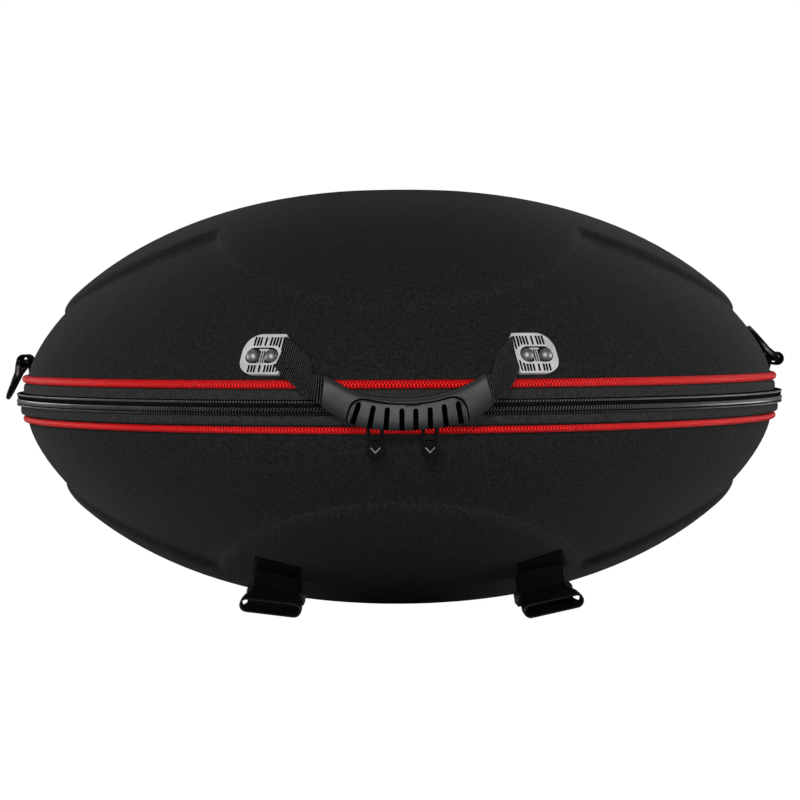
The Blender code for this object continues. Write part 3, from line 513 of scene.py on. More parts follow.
def make_finishes():
    red_low, red_high = (0.03, 0.0004, 0.0008), (1.0, 0.013, 0.014)
    rubber_low, rubber_high = (0.013, 0.013, 0.014), (0.020, 0.020, 0.022)
    return {
        "shell": woven_finish("shell_fabric", 0.0045, 0.0205, 0.0011, 0.00010, 0.035),
        "liner": woven_finish("liner_plush", 0.018, 0.05, 0.0016, 0.00018, 0.3),
        "cushion": woven_finish("cushion_cloth", 0.014, 0.035, 0.0013, 0.00012, 0.3),
        "piping": braid_finish("red_braid", red_low, red_high, 0.0024),
        "tape": woven_finish("zip_tape", 0.009, 0.036, 0.0009, 0.00010, 0.03),
        # zip stitches lighter than black nylon: painted highlight; the cord under them near-black: painted
        # shade
        "coil": moulded_finish("zip_coil", 0.075, 0.12, 0.30, specular=1.0),
        "coil_cord_shade": woven_finish("zip_cord_shade", 0.003, 0.007, 0.0009, 0.00010, 0.0),
        "webbing": ribbed_finish("webbing", 0.0002, 0.044, 0.0020, 0.00025, 0.6),
        # a darker copy of the webbing: painted shade for the buckle tabs under the case; the ring tabs take
        # it too
        "shaded_tab_webbing": ribbed_finish("shaded_tab_webbing", 0.001, 0.006, 0.0019, 0.00020, 0.7),
        "metal": moulded_finish("black_metal", 0.0012, 0.0025, 0.50, specular=0.02),
        "rivet": moulded_finish("rivet_metal", 0.19, 0.24, 0.54, metallic=1.0),
        "plate": moulded_finish("grey_plate", 0.36, 0.52, 0.42, depth=0.00012),
        # near-black lining of the handle plates' recess, slots and gaps: painted shade
        "plate_hollow_shade": moulded_finish("plate_hollow_shade", 0.002, 0.004, 0.6, specular=0.1),
        "backing": moulded_finish("backing_metal", 0.35, 0.45, 0.4, metallic=0.9),
        "grip": moulded_finish("grip_rubber", rubber_low, rubber_high, 0.52, 900.0, specular=0.3),
        # near-black lining of the grip's slots and groove: painted shade
        "grip_slot_shade": moulded_finish("grip_slot_shade", 0.0003, 0.0007, 0.7, specular=0.0),
        "ring": moulded_finish("ring_plastic", 0.0010, 0.0020, 0.30, specular=0.15),
        # a lighter copy of the buckle plastic: painted highlight on the buckle lugs and painted glint in the
        # pulls' V marks
        "lug": moulded_finish("lug_plastic_highlight", 0.014, 0.022, 0.40, specular=0.4),
        "buckle": moulded_finish("buckle_plastic", 0.0025, 0.0050, 0.34, specular=0.5),
    }


# Shells and lining

def ring_points(side, radius, height):
    """A level ring of points round the case."""
    radius = np.broadcast_to(radius, TURNS.shape)
    height = np.broadcast_to(height, TURNS.shape)
    return np.stack([radius * np.sin(TURNS), -radius * np.cos(TURNS), SEAM_HEIGHT + side * height], axis=1)


def bowl_rings(side, offset):
    """Rings from the rim to the middle of a plain bowl that follows the dome."""
    return [ring_points(side, *dome(math.radians(degrees), offset)) for degrees in BOWL_SLOPES]


def disc_profile(side):
    """From the middle of the disc, over its rounded edge and down into the groove round it."""
    top = RIM_STRAIGHT + DOME_RISE + (DISC_RISE if side > 0 else FOOT_RISE)
    crown = DISC_CROWN if side > 0 else 0.0
    inner = DISC_RADIUS - DISC_EDGE
    points = [(share * inner, top + crown * (1 - share**2)) for share in (0.0, 0.2, 0.4, 0.6, 0.8)]
    points += arc((inner, top - DISC_EDGE), DISC_EDGE, 90, 0, 5)
    floor = dome(slope_at_radius(DISC_RADIUS))[1] + PETAL_HEIGHT - GROOVE_DEPTH
    small = 0.3 * DISC_EDGE
    points += arc((DISC_RADIUS + small, floor + small), small, 180, 270, 3)
    return points


def petal_profiles():
    """(slope, offset) of the rings from the groove out over the petals' edge."""
    start = slope_at_radius(DISC_RADIUS + 0.55 * GROOVE_WIDTH)
    lip = GROOVE_DEPTH / length_per_slope(start)
    rows = [(start, PETAL_HEIGHT - GROOVE_DEPTH)]
    for angle in (20, 45, 70, 90):
        turn = math.radians(angle)
        inner = start - lip * (0.15 + 0.85 * (1 - math.cos(turn)))
        rows.append((inner, PETAL_HEIGHT - GROOVE_DEPTH * (1 - math.sin(turn))))
    edge = petal_slope()
    reach = PETAL_EDGE / length_per_slope(edge)
    for share in np.linspace(0.0, 1.0, 19)[1:]:
        rows.append((inner + share * (edge + reach - inner), PETAL_HEIGHT))
    for share in (0.86, 0.72, 0.58, 0.45, 0.33, 0.23, 0.15, 0.09, 0.045, 0.02, 0.0, -0.03, -PETAL_FILLET):
        rows.append((edge + share * reach, petal_rise(share)))
    return rows


def petal_rise(share):
    """Height of the petals' rounded edge over the skirt, with a small fillet at its foot."""
    if share <= -PETAL_FILLET:
        return 0.0
    inside = max(share, 0.0)
    round_over = math.sqrt(max(1 - (1 - inside) ** 2, 0.0)) * (1 - math.exp(-inside / 0.05))
    fillet = 0.10 * math.exp(-((share / PETAL_FILLET) ** 2)) if share < 0.15 else 0.0
    return PETAL_HEIGHT * max(round_over, fillet * (share + PETAL_FILLET) / PETAL_FILLET)


def skirt_profiles():
    edge = petal_slope()
    foot = edge - PETAL_FILLET * PETAL_EDGE / length_per_slope(edge)
    low = slope_at_height(GROOVE_TOP)
    return [(low + share * (foot - low), 0.0) for share in np.linspace(0.9, 0.0, 10)]


def make_shell(name, side, material):
    rows = [ring_points(side, radius, height) for radius, height in disc_profile(side)]
    for slopes, offsets in petal_profiles() + skirt_profiles():
        rows.append(ring_points(side, *dome(slopes, offsets)))
    rim = [(GROOVE_RADIUS, GROOVE_TOP), (GROOVE_RADIUS, FLANGE_TOP), (FLANGE_RADIUS, FLANGE_TOP)]
    rim += [(FLANGE_RADIUS, SEAM_GAP), (SHELL_RADIUS - WALL, SEAM_GAP)]
    rows += [ring_points(side, radius, height) for radius, height in rim]
    return build_bowl(name, rows + bowl_rings(side, -WALL), material)


def build_bowl(name, rows, material):
    """A closed bowl. Its cloth is measured from the middle, along the bowl in each point's own direction."""
    rows = np.array(rows)
    reach = np.zeros(rows.shape[:2])
    reach[1:] = np.cumsum(np.linalg.norm(np.diff(rows, axis=0), axis=2), axis=0)
    reach = np.concatenate([reach, reach[:, :1]], axis=1)
    turn = np.append(TURNS, 0.0)
    cloth = np.stack([reach * np.sin(turn), -reach * np.cos(turn)], axis=2)
    return Skin().patch(rows, cloth, wrap=True).build(name, material, angle=50)


def make_liner(name, side, material):
    outer, inner = LINER_OFFSET, LINER_OFFSET - LINER_THICKNESS
    rim = [ring_points(side, SHELL_RADIUS + offset, CLEARANCE + SEAM_GAP) for offset in (outer, inner)]
    return build_bowl(name, bowl_rings(side, outer)[::-1] + rim + bowl_rings(side, inner), material)


def make_cushion(name, side, material):
    """A foam ring with a rounded inner face, sewn in cloth."""
    outside = SHELL_RADIUS + BACKING_OFFSET
    inside = outside - CUSHION_WIDTH
    low, high = CUSHION_SETBACK, CUSHION_SETBACK + CUSHION_DEPTH
    soft = CUSHION_CORNER
    profile = [(outside, low + 0.4 * soft), (outside, RIM_STRAIGHT), (outside - 0.4 * soft, high)]
    profile += [(outside - 1.6 * soft, high), (inside + 0.4 * CUSHION_DEPTH, 0.8 * high)]
    profile += arc((inside + soft, low + soft), soft, 180, 270, 4) + [(outside - 0.4 * soft, low)]
    rows = [ring_points(side, radius, height) for radius, height in [*profile, profile[0]]]
    return Skin().patch(rows, wrap=True).build(name, material, angle=60)


# Rim bands

def band(name, profile, side, material, first=-180.0, last=180.0, step=1.25):
    """A closed profile of (radius, height) carried round the rim between two azimuths."""
    whole = last - first >= 360.0
    count = int(round((last - first) / step))
    turns = [math.radians(first + (last - first) * i / count) for i in range(count if whole else count + 1)]
    profile = [*profile, profile[0]]
    rows = [[tuple(polar(turn, radius, height, side)) for turn in turns] for radius, height in profile]
    points = np.array(rows)
    skin = Skin().patch(points, wrap=whole)
    if not whole:
        for end in (0, -1):
            skin.cap(points[:-1, end])
    return skin.build(name, material)


def make_piping(name, side, material):
    section = circle(PIPING_FULLNESS[side] * PIPING_RADIUS, 16)
    profile = [(PIPING_CENTRE - out, PIPING_HEIGHT + up) for out, up in section]
    return band(name, profile, side, material)


def make_tape(name, side, material):
    plain = TAPE_RADIUS + UPPER_TAPE
    coil_top = SEAM_GAP + COIL_HEIGHT
    points = [(TAPE_RADIUS, SEAM_GAP), (plain, SEAM_GAP), (plain, coil_top)]
    if side > 0:
        points += [(plain, 0.75 * TAPE_TOP), (plain - 0.0005, 0.93 * TAPE_TOP)]
    else:
        middle, half = (coil_top + TAPE_TOP) / 2, (TAPE_TOP - coil_top) / 2
        for turn in np.linspace(0.0, math.pi, 10)[1:-1]:
            bulge = (LOWER_TAPE - UPPER_TAPE) * math.sin(turn) ** 0.6
            points.append((plain + bulge, middle - half * math.cos(turn)))
    points.append((TAPE_RADIUS, TAPE_TOP))
    return band(name, points, side, material, -ZIP_REACH, ZIP_REACH)


def make_coil(name, side, material, cord_shade_material):
    """One row of the zip: a cord with slanted stitches of monofilament over it. The stitches are painted
    lighter than their black nylon, as painted highlight, and the cord under them near-black, as painted
    shade.
    """
    low, high = SEAM_GAP + 0.0003, SEAM_GAP + COIL_HEIGHT
    core = [(COIL_RADIUS, low), (ZIP_RADIUS - 0.0016, low)]
    core += [(ZIP_RADIUS - depth, share * high) for depth, share in COIL_CORE] + [(COIL_RADIUS, high)]
    base = band(name, core, side, cord_shade_material, -ZIP_REACH, ZIP_REACH)
    for index, stitch in enumerate(STITCHES[side]):
        make_stitches(f"{name}_stitches_{index}", side, stitch, material).parent = base
    return base


def make_stitches(name, side, stitch, material):
    """Rounded strokes, one for every tooth."""
    start, end, wide = stitch
    skin = Skin()
    reach = math.radians(ZIP_REACH)
    for i in range(int(2 * reach * ZIP_RADIUS / TOOTH_PITCH)):
        turn = (i + 0.5) * TOOTH_PITCH / ZIP_RADIUS - reach
        rows = []
        for share in (0.0, 0.12, 0.5, 0.88, 1.0):
            height, shift = (a + (b - a) * share for a, b in zip(start, end))
            swell = math.sqrt(max(1 - (2 * share - 1) ** 4, 0.04))
            ring = []
            for across, out in STITCH_SECTION:
                there = turn + (shift + wide * swell * across) / ZIP_RADIUS
                ring.append(tuple(polar(there, STITCH_RADIUS + out * swell, height, side)))
            rows.append(ring)
        skin.patch(rows, wrap=True)
    return skin.build(name, material, 70)


def make_hinge_fold(name, material):
    """The middle of the cloth hinge: one strip over the seam, sewn to both shells."""
    heights = np.linspace(0.6, -0.6, 9) * TAPE_TOP
    profile = HINGE_SHOULDER + [(HINGE_OUT, height) for height in heights]
    profile += [(radius, -height) for radius, height in reversed(HINGE_SHOULDER)]
    profile += [(TAPE_RADIUS, height) for height in heights[::-1]]
    return band(name, profile, 1, material, 180 - FOLD_REACH, 180 + FOLD_REACH, step=1.0)


def make_hinge_leaf(where, side, material):
    """Beyond the fold the rim curves away from the hinge axis, so each shell has its own cloth."""
    profile = HINGE_SHOULDER + [(HINGE_OUT, 0.6 * TAPE_TOP), (HINGE_OUT, SEAM_GAP + 0.0006)]
    profile += [(HINGE_OUT - 0.0006, SEAM_GAP), (TAPE_RADIUS, SEAM_GAP)]
    near, far = FOLD_REACH + 0.1, 180 - ZIP_REACH - 0.1
    leaf = band(f"hinge_leaf_{where}_1", profile, side, material, 180 + near, 180 + far, step=1.0)
    other = band(f"hinge_leaf_{where}_2", profile, side, material, 180 - far, 180 - near, step=1.0)
    other.parent = leaf
    return leaf


# Zip sliders and pulls

SLIDER_AZIMUTHS = {"left": -3.0, "right": 3.75}
SLIDER_LENGTH = 0.0144
SLIDER_PLATE = 0.0013
SLIDER_TOP = 0.0062
SLIDER_FLANGE_DEPTH = 0.0027
SLIDER_SOFT = 0.0005
STUD_RADIUS = 0.0016
CAP_RADIUS = 0.0031
CAP_THICKNESS = 0.0012
CAP_SOFT = 0.0006
PULL_THICKNESS = 0.0018
PULL_SOFT = 0.0004
PULL_LENGTH = 0.0355
PULL_WIDTH = 0.0119
PULL_EYE_RADIUS = 0.0044
PULL_SLOT_TOP = 0.0140
PULL_SLOT = (0.0070, 0.0088)
PULL_MARK_RISE = 0.0062
PULL_MARK_DEPTH = 0.0004
PULL_MARK = [(-0.0036, 0.0019), (-0.0030, 0.0026), (0.0, -0.0006),
             (0.0030, 0.0026), (0.0036, 0.0019), (0.0, -0.0019)]
SLIDER_INNER = ZIP_RADIUS + CLEARANCE
SLIDER_OUTER = SLIDER_INNER + SLIDER_PLATE
PULL_INNER = SLIDER_OUTER + CLEARANCE
CAP_INNER = PULL_INNER + PULL_THICKNESS + CLEARANCE
CAP_OUTER = CAP_INNER + CAP_THICKNESS


def slider_frame(azimuth):
    """A matrix on the seam with X along the zip, Y up and Z outwards."""
    turn = Matrix.Rotation(math.radians(azimuth), 4, "Z") @ Matrix.Rotation(math.pi / 2, 4, "X")
    return Matrix.Translation((0.0, 0.0, SEAM_HEIGHT)) @ turn


def turned(name, profile, matrix, material, angle=40.0):
    """A profile of (radius, height) turned about the matrix's Z."""
    rows = [moved(matrix, [(x, y, height) for x, y in circle(radius, 32)]) for radius, height in profile]
    return Skin().patch(rows, wrap=True).build(name, material, angle)


def make_slider(where, azimuth, material):
    """The slider's faceplate is waisted and crowned. Its flange turns in under the zip's lower row."""
    frame_here = slider_frame(azimuth)
    flange = -SEAM_GAP - COIL_HEIGHT - CLEARANCE
    foot = flange - SLIDER_PLATE
    inner = SLIDER_INNER - SLIDER_FLANGE_DEPTH
    rows = []
    for x in np.linspace(-SLIDER_LENGTH / 2, SLIDER_LENGTH / 2, 17):
        share = abs(x) / (SLIDER_LENGTH / 2)
        top = SLIDER_TOP * (0.82 + 0.18 * math.cos(share * math.pi / 2))
        out = SLIDER_OUTER - SLIDER_SOFT * share**6
        section = [(out - 0.8 * SLIDER_SOFT, top), (SLIDER_INNER, top), (SLIDER_INNER, flange)]
        section += [(inner, flange), (inner, foot), (out - SLIDER_SOFT, foot)]
        section += [(out, foot + SLIDER_SOFT), (out, top - SLIDER_SOFT)]
        rows.append(moved(frame_here, [(x, y, z) for z, y in section]))
    slider = Skin().tube(rows).build(f"zip_slider_{where}", material, 30)
    low = SLIDER_OUTER - SLIDER_PLATE / 2
    stud = [(0.0, low), (STUD_RADIUS, low), (STUD_RADIUS, CAP_INNER), (CAP_RADIUS - CAP_SOFT / 2, CAP_INNER)]
    stud += arc((CAP_RADIUS - CAP_SOFT, CAP_OUTER - CAP_SOFT), CAP_SOFT, 0, 90, 4) + [(0.0, CAP_OUTER)]
    turned(f"zip_stud_{where}", stud, frame_here, material).parent = slider
    return slider


def pull_outline(inset):
    """A round eye at the top, a neck, and a wider tab with a round end."""
    half = PULL_WIDTH / 2 - inset
    shoulder = -PULL_EYE_RADIUS - PULL_WIDTH / 2
    points = arc((0.0, 0.0), PULL_EYE_RADIUS - inset, -12, 192, 20) + [(-half, shoulder)]
    return points + arc((0.0, PULL_WIDTH / 2 - PULL_LENGTH), half, 180, 360, 20) + [(half, shoulder)]


def make_pull(where, azimuth, material, mark_glint_material):
    frame_here = slider_frame(azimuth)
    high = PULL_INNER + PULL_THICKNESS
    layers = [(PULL_SOFT, PULL_INNER), (0.0, PULL_INNER + PULL_SOFT)]
    layers += [(0.0, high - PULL_SOFT), (PULL_SOFT, high)]
    rows = [moved(frame_here, [(x, y, z) for x, y in pull_outline(inset)]) for inset, z in layers]
    pull = Skin().tube(rows).build(f"zip_pull_{where}", material, 30)
    low, top = PULL_INNER - PULL_THICKNESS, high + PULL_THICKNESS
    width, tall = PULL_SLOT
    window = shifted(rounded_outline(width, tall, 0.0009, 4), 0.0, -PULL_SLOT_TOP - tall / 2)
    openings = (circle(STUD_RADIUS + CLEARANCE, 20), window)
    cut(pull, [prism(outline, low, top, through(frame_here)) for outline in openings])
    mark = shifted(PULL_MARK, 0.0, PULL_MARK_RISE - PULL_LENGTH)
    # The V mark's cut faces take the lighter plastic: painted glint.
    cut(pull, [prism(mark, high - PULL_MARK_DEPTH, top, through(frame_here))], mark_glint_material)
    return pull


# Handle: plates and rivets

PLATE_AZIMUTH = 18.4
PLATE_HEIGHT = 0.0338
PLATE_WIDTH = 0.0303
PLATE_TALL = 0.0300
PLATE_THICKNESS = 0.0030
PLATE_OUTER_CORNER = 0.012
PLATE_INNER_CORNER = 0.002
PLATE_SHEAR = 0.09
PLATE_RIM = 0.0012
PLATE_SOFT = 0.0006
PLATE_FIELD_DEPTH = 0.0004
SLOT_WIDTH = 0.0015
SLOT_ROW = 0.0100
SLOT_ROW_HEIGHT = 0.0062
# Places of the slots along the plate, each with its extra length
SLOTS = ((0.0074, 0.0), (0.0051, 0.0), (0.0030, 0.0), (-0.0006, 0.0), (-0.0044, 0.0), (-0.0067, 0.0),
         (-0.0088, 0.0), (-0.0110, 0.00105), (-0.0134, 0.0030))
RECESS = (0.0236, 0.0114)
RECESS_DEPTH = 0.0022
RECESS_MIDDLE = 0.0035
RECESS_BARS = (-0.0016, 0.0, 0.0016)
GAP_HALF = 0.0045
BAR_HALF = 0.00035
RIVET_SPACING = 0.0134
RIVET_HEAD_RADIUS = 0.0049
RIVET_HEAD_HEIGHT = 0.0026
RIVET_SHANK_RADIUS = 0.0025
RIVET_FOOT = 0.0012
WEBBING_WIDTH = 0.025
WEBBING_THICKNESS = 0.0016
PLATE_LOW = WEBBING_THICKNESS + 2 * CLEARANCE
PLATE_TOP = PLATE_LOW + PLATE_THICKNESS


def plate_place(sign):
    """The dome under a handle plate, with x growing towards the plate's rounded outer end."""
    place = on_shell(1, sign * math.radians(PLATE_AZIMUTH), slope_at_height(PLATE_HEIGHT))
    return lambda x, y, height: place(sign * (x - PLATE_SHEAR * y), y, height)


def plate_outline(inset):
    outer, inner = PLATE_OUTER_CORNER - inset, max(PLATE_INNER_CORNER - inset, 0.0004)
    return rounded_outline(PLATE_WIDTH - 2 * inset, PLATE_TALL - 2 * inset, (outer, inner, inner, outer), 10)


def stadium(width, height, middle=(0.0, 0.0), steps=8):
    return shifted(rounded_outline(width, height, 0.999 * min(width, height) / 2, steps), *middle)


def make_plate(where, sign, material, hollow_shade_material):
    place = plate_place(sign)
    soft = PLATE_SOFT
    field = (PLATE_RIM + 0.0004, PLATE_TOP - PLATE_FIELD_DEPTH)
    rim = [(0.0, CLEARANCE), (0.0, PLATE_TOP - soft), (0.3 * soft, PLATE_TOP - 0.3 * soft), (soft, PLATE_TOP)]
    rim += [(PLATE_RIM, PLATE_TOP), field]
    layers = [(0.4, 0.0, CLEARANCE), *[(1.0, inset, height) for inset, height in rim], (0.4, *field)]
    rows = [[tuple(place(scale * x, scale * y, height)) for x, y in plate_outline(inset)]
            for scale, inset, height in layers]
    plate = Skin().tube(rows).build(f"handle_plate_{where}", material, 30)
    top = PLATE_TOP + 0.002
    floor = -0.001
    bottom = PLATE_TOP - RECESS_DEPTH
    middle = rounded_outline(2 * RECESS_MIDDLE, RECESS[1] - 0.0002, 0.0002, 1)
    cut(plate, [prism(middle, bottom - 0.0001, top, place)])
    shapes = [prism(stadium(*RECESS), bottom, top, place)]
    for x, extra in SLOTS:
        for row in (-1, 1):
            slot = stadium(SLOT_WIDTH, SLOT_ROW_HEIGHT + extra, (x, row * (SLOT_ROW - extra / 2)), 3)
            shapes.append(prism(slot, floor, top, place))
    sides = [x + way * BAR_HALF for x in RECESS_BARS for way in (-1, 1)]
    edges = [-RECESS_MIDDLE, *sides, RECESS_MIDDLE]
    for left, right in zip(edges[::2], edges[1::2]):
        gap = [(right, GAP_HALF), (left, GAP_HALF), (left, -GAP_HALF), (right, -GAP_HALF)]
        shapes.append(prism(gap, floor, PLATE_TOP - RECESS_DEPTH / 2, place))
    # The recess, the slots and the gaps between the bars take a near-black lining: painted shade.
    cut(plate, shapes, hollow_shade_material)
    shade(plate.data, 30)
    return plate


def rivet_frame(sign, end):
    """A matrix under a rivet, with Z outwards. End is 1 at the plate's rounded end and -1 at its other."""
    place = on_shell(1, sign * math.radians(PLATE_AZIMUTH), slope_at_height(PLATE_HEIGHT))
    across = sign * end * RIVET_SPACING / 2
    small = 0.0005
    origin = place(across, 0.0, 0.0)
    z_axis = (place(across, 0.0, small) - origin).normalized()
    x_axis = (place(across + small, 0.0, 0.0) - origin).normalized()
    y_axis = z_axis.cross(x_axis).normalized()
    x_axis = y_axis.cross(z_axis)
    return Matrix.Translation(origin) @ Matrix((x_axis, y_axis, z_axis)).transposed().to_4x4()


def make_rivet(name, sign, end, material):
    """A domed head in the plate's recess, its shank, and the foot on the backing plate."""
    base = PLATE_TOP - RECESS_DEPTH
    head = PLATE_TOP + CLEARANCE + RIVET_HEAD_HEIGHT
    sphere = ((head - base) ** 2 + RIVET_HEAD_RADIUS**2) / (2 * (head - base))
    reach = math.degrees(math.asin(min(RIVET_HEAD_RADIUS / sphere, 1.0)))
    foot = BACKING_OFFSET - BACKING_THICKNESS - CLEARANCE
    end_face = foot - RIVET_FOOT
    profile = [(0.0, head), *arc((0.0, head - sphere), sphere, 90, 90 - reach, 12)[1:]]
    profile += [(RIVET_SHANK_RADIUS, base), (RIVET_SHANK_RADIUS, foot), (RIVET_HEAD_RADIUS, foot)]
    profile += [(RIVET_HEAD_RADIUS, end_face + 0.0004), (RIVET_HEAD_RADIUS - 0.0004, end_face)]
    profile.append((0.0, end_face))
    return turned(name, profile, rivet_frame(sign, end), material, angle=35)


# Handle: grip and webbing

GRIP_DEPTH = 0.012
GRIP_MIDDLE_X = 0.005
GRIP_MIDDLE_Y = -0.3268
GRIP_HALF_LENGTH = 0.057
GRIP_END_BACK = 0.006
GRIP_FLARE = 0.0007
GRIP_UP_POWER = 0.75
GRIP_OUT_POWER = 0.62
GRIP_SLOT_WIDTH = 0.0036
GRIP_SLOT_DEPTH = 0.0045
GRIP_SLOT_LENGTH = 0.022
GRIP_GROOVE_RADIUS = 0.0006

# Lines of the grip seen from the front, as (x, z)
GRIP_TOP = [(-0.0500, 0.1892), (-0.0437, 0.1853), (-0.0368, 0.1812), (-0.0290, 0.1777), (-0.0199, 0.1750),
            (-0.0090, 0.1738), (0.0037, 0.1734), (0.0180, 0.1742), (0.0290, 0.1765), (0.0390, 0.1795),
            (0.0490, 0.1840), (0.0580, 0.1900)]
GRIP_BOTTOM = [(-0.0531, 0.1684), (-0.0484, 0.1648), (-0.0430, 0.1612), (-0.0360, 0.1575), (-0.0250, 0.1537),
               (-0.0110, 0.1518), (0.0037, 0.1514), (0.0200, 0.1524), (0.0325, 0.1540), (0.0440, 0.1565),
               (0.0545, 0.1612), (0.0640, 0.1688)]
GRIP_BORDER = [(-0.0358, 0.1575), (-0.0350, 0.1620), (-0.0336, 0.1668), (-0.0301, 0.1715), (-0.0245, 0.1730),
               (-0.0165, 0.1716), (-0.0064, 0.1699), (0.0058, 0.1695), (0.0173, 0.1702), (0.0275, 0.1721),
               (0.0356, 0.1741), (0.0412, 0.1729), (0.0448, 0.1686), (0.0462, 0.1630), (0.0470, 0.1575)]
GRIP_SLOT_TOPS = [(-0.0270, 0.1710), (-0.0173, 0.1689), (-0.0080, 0.1675), (0.0017, 0.1668), (0.0110, 0.1667),
                  (0.0207, 0.1674), (0.0300, 0.1694), (0.0394, 0.1713)]
GRIP_SLOT_FEET = [(-0.0308, 0.1595), (-0.0200, 0.1554), (-0.0092, 0.1533), (0.0016, 0.1519), (0.0111, 0.1518),
                  (0.0209, 0.1531), (0.0315, 0.1558), (0.0416, 0.1585)]


def grip_middle_y(x):
    """The middle of the grip's depth: it bends back towards its ends."""
    share = (x - GRIP_MIDDLE_X) / GRIP_HALF_LENGTH
    return GRIP_MIDDLE_Y + GRIP_END_BACK * share**2


def grip_surface_y(x, z):
    """The front of the grip at a point of its picture, seen from the front."""
    top, bottom = (float(np.interp(x, *zip(*points))) for points in (GRIP_TOP, GRIP_BOTTOM))
    up = (2 * z - top - bottom) / (top - bottom)
    lean = min(abs(up), 1.0) ** (1 / GRIP_UP_POWER)
    return grip_middle_y(x) - math.sqrt(max(1 - lean**2, 0.0)) ** GRIP_OUT_POWER * GRIP_DEPTH / 2


def grip_section(top, foot, depth):
    """A ring round the grip between two points of its top and bottom lines."""
    (tx, tz), (fx, fz) = top, foot
    section = []
    for forward, upward in circle(1.0, 36):
        up = math.copysign(abs(upward) ** GRIP_UP_POWER, upward)
        out = math.copysign(abs(forward) ** GRIP_OUT_POWER, forward)
        x = (tx + fx) / 2 + up * (tx - fx) / 2
        section.append((x, grip_middle_y(x) - out * depth, (tz + fz) / 2 + up * (tz - fz) / 2))
    return section


def make_grip(material, slot_shade_material):
    """A moulded rubber sleeve: horned ends, a raised panel with finger slots open at the bottom. The slots
    and the groove round the panel are lined with a near-black finish: painted shade.
    """
    tops, feet = smooth_through(GRIP_TOP, 5), smooth_through(GRIP_BOTTOM, 5)
    last = len(tops) - 1
    rows = []
    for i in range(last + 1):
        flare = GRIP_FLARE * math.exp(-min(i, last - i) / 3.0)
        rows.append(grip_section(tops[i], feet[i], GRIP_DEPTH / 2 + flare))
    grip = Skin().tube(rows).build("handle_grip", material, 60)
    half = GRIP_SLOT_WIDTH / 2
    outline = arc((0.0, half), half, 0, -180, 10) + [(-half, GRIP_SLOT_LENGTH), (half, GRIP_SLOT_LENGTH)]
    shapes = []
    for (tx, tz), (fx, fz) in zip(GRIP_SLOT_TOPS, GRIP_SLOT_FEET):
        down = Vector((fx - tx, 0.0, fz - tz)).normalized()
        side = Vector((down.z, 0.0, -down.x))
        start = Vector((tx, grip_middle_y(tx) - GRIP_DEPTH / 2, tz))

        def place(x, y, height, start=start, side=side, down=down):
            return start + side * x + down * y + Vector((0.0, height, 0.0))

        shapes.append(prism(outline, -0.004, GRIP_SLOT_DEPTH, place))
    border = [(x, grip_surface_y(x, z) + 0.0001, z) for x, z in smooth_through(GRIP_BORDER, 4)]
    groove = sweep(border, circle(GRIP_GROOVE_RADIUS, 8), up=(0.0, -1.0, 0.0))
    tube = Skin().tube(groove).build("border", material)
    bm = bmesh.new()
    bm.from_mesh(tube.data)
    bpy.data.objects.remove(tube, do_unlink=True)
    # The slots and the groove take the near-black lining: painted shade.
    cut(grip, [*shapes, bm], slot_shade_material)
    return grip


STRAP_CUPPING = {"left": 0.0012, "right": -0.0012}
STRAP_CORE_HALF = 0.006
STRAP_CORE_THICKNESS = 0.0022

# The two edges of the webbing from each plate to the grip, as (x, y, z)
STRAP_SPREAD = {
    "left": [((-0.0779, -0.2945, 0.2154), (-0.0859, -0.2960, 0.1947)),
             ((-0.0728, -0.2985, 0.2114), (-0.0807, -0.3020, 0.1890)),
             ((-0.0661, -0.3045, 0.2058), (-0.0744, -0.3090, 0.1836)),
             ((-0.0612, -0.3100, 0.2004), (-0.0691, -0.3150, 0.1790)),
             ((-0.0593, -0.3140, 0.1947), (-0.0649, -0.3195, 0.1756)),
             ((-0.0588, -0.3170, 0.1901), (-0.0614, -0.3225, 0.1736)),
             ((-0.0555, -0.3215, 0.1900), (-0.0576, -0.3235, 0.1720)),
             ((-0.0521, -0.3230, 0.1889), (-0.0535, -0.3235, 0.1706)),
             ((-0.0470, -0.3240, 0.1863), (-0.0491, -0.3240, 0.1690))],
    "right": [((0.0781, -0.2945, 0.2148), (0.0831, -0.2960, 0.1926)),
              ((0.0737, -0.2985, 0.2111), (0.0807, -0.3020, 0.1872)),
              ((0.0686, -0.3045, 0.2059), (0.0775, -0.3090, 0.1819)),
              ((0.0654, -0.3100, 0.2005), (0.0741, -0.3150, 0.1776)),
              ((0.0637, -0.3140, 0.1947), (0.0707, -0.3195, 0.1747)),
              ((0.0626, -0.3170, 0.1899), (0.0669, -0.3225, 0.1724)),
              ((0.0596, -0.3215, 0.1887), (0.0635, -0.3235, 0.1709)),
              ((0.0558, -0.3230, 0.1874), (0.0594, -0.3235, 0.1696)),
              ((0.0506, -0.3240, 0.1848), (0.0546, -0.3240, 0.1685))],
}


def ribbon(name, edges, material, thickness=WEBBING_THICKNESS, steps=8, cupping=0.0):
    """Webbing between two edge curves. Edges is a list of (one edge point, the other edge point)."""
    first, second = (smooth_through(points, steps) for points in zip(*edges))
    across = np.linspace(0.0, 1.0, 13)
    middle = np.array([[a + (b - a) * s for s in across] for a, b in zip(first, second)])
    normal = np.cross(np.gradient(middle, axis=0), np.gradient(middle, axis=1))
    normal /= np.linalg.norm(normal, axis=2)[..., None]
    middle = middle + normal * (cupping * 4 * across * (1 - across))[None, :, None]
    edge = np.minimum(across, 1 - across)
    half = normal * (thickness / 2 * np.minimum(1.0, 0.35 + edge * 9))[None, :, None]
    rows = np.concatenate([middle + half, (middle - half)[:, ::-1]], axis=1)
    width = np.concatenate([across, 1 + across, [2.0]]) * WEBBING_WIDTH
    cloth = cloth_grid(path_lengths((first + second) / 2), width)
    return Skin().tube(rows, cloth).build(name, material, 50)


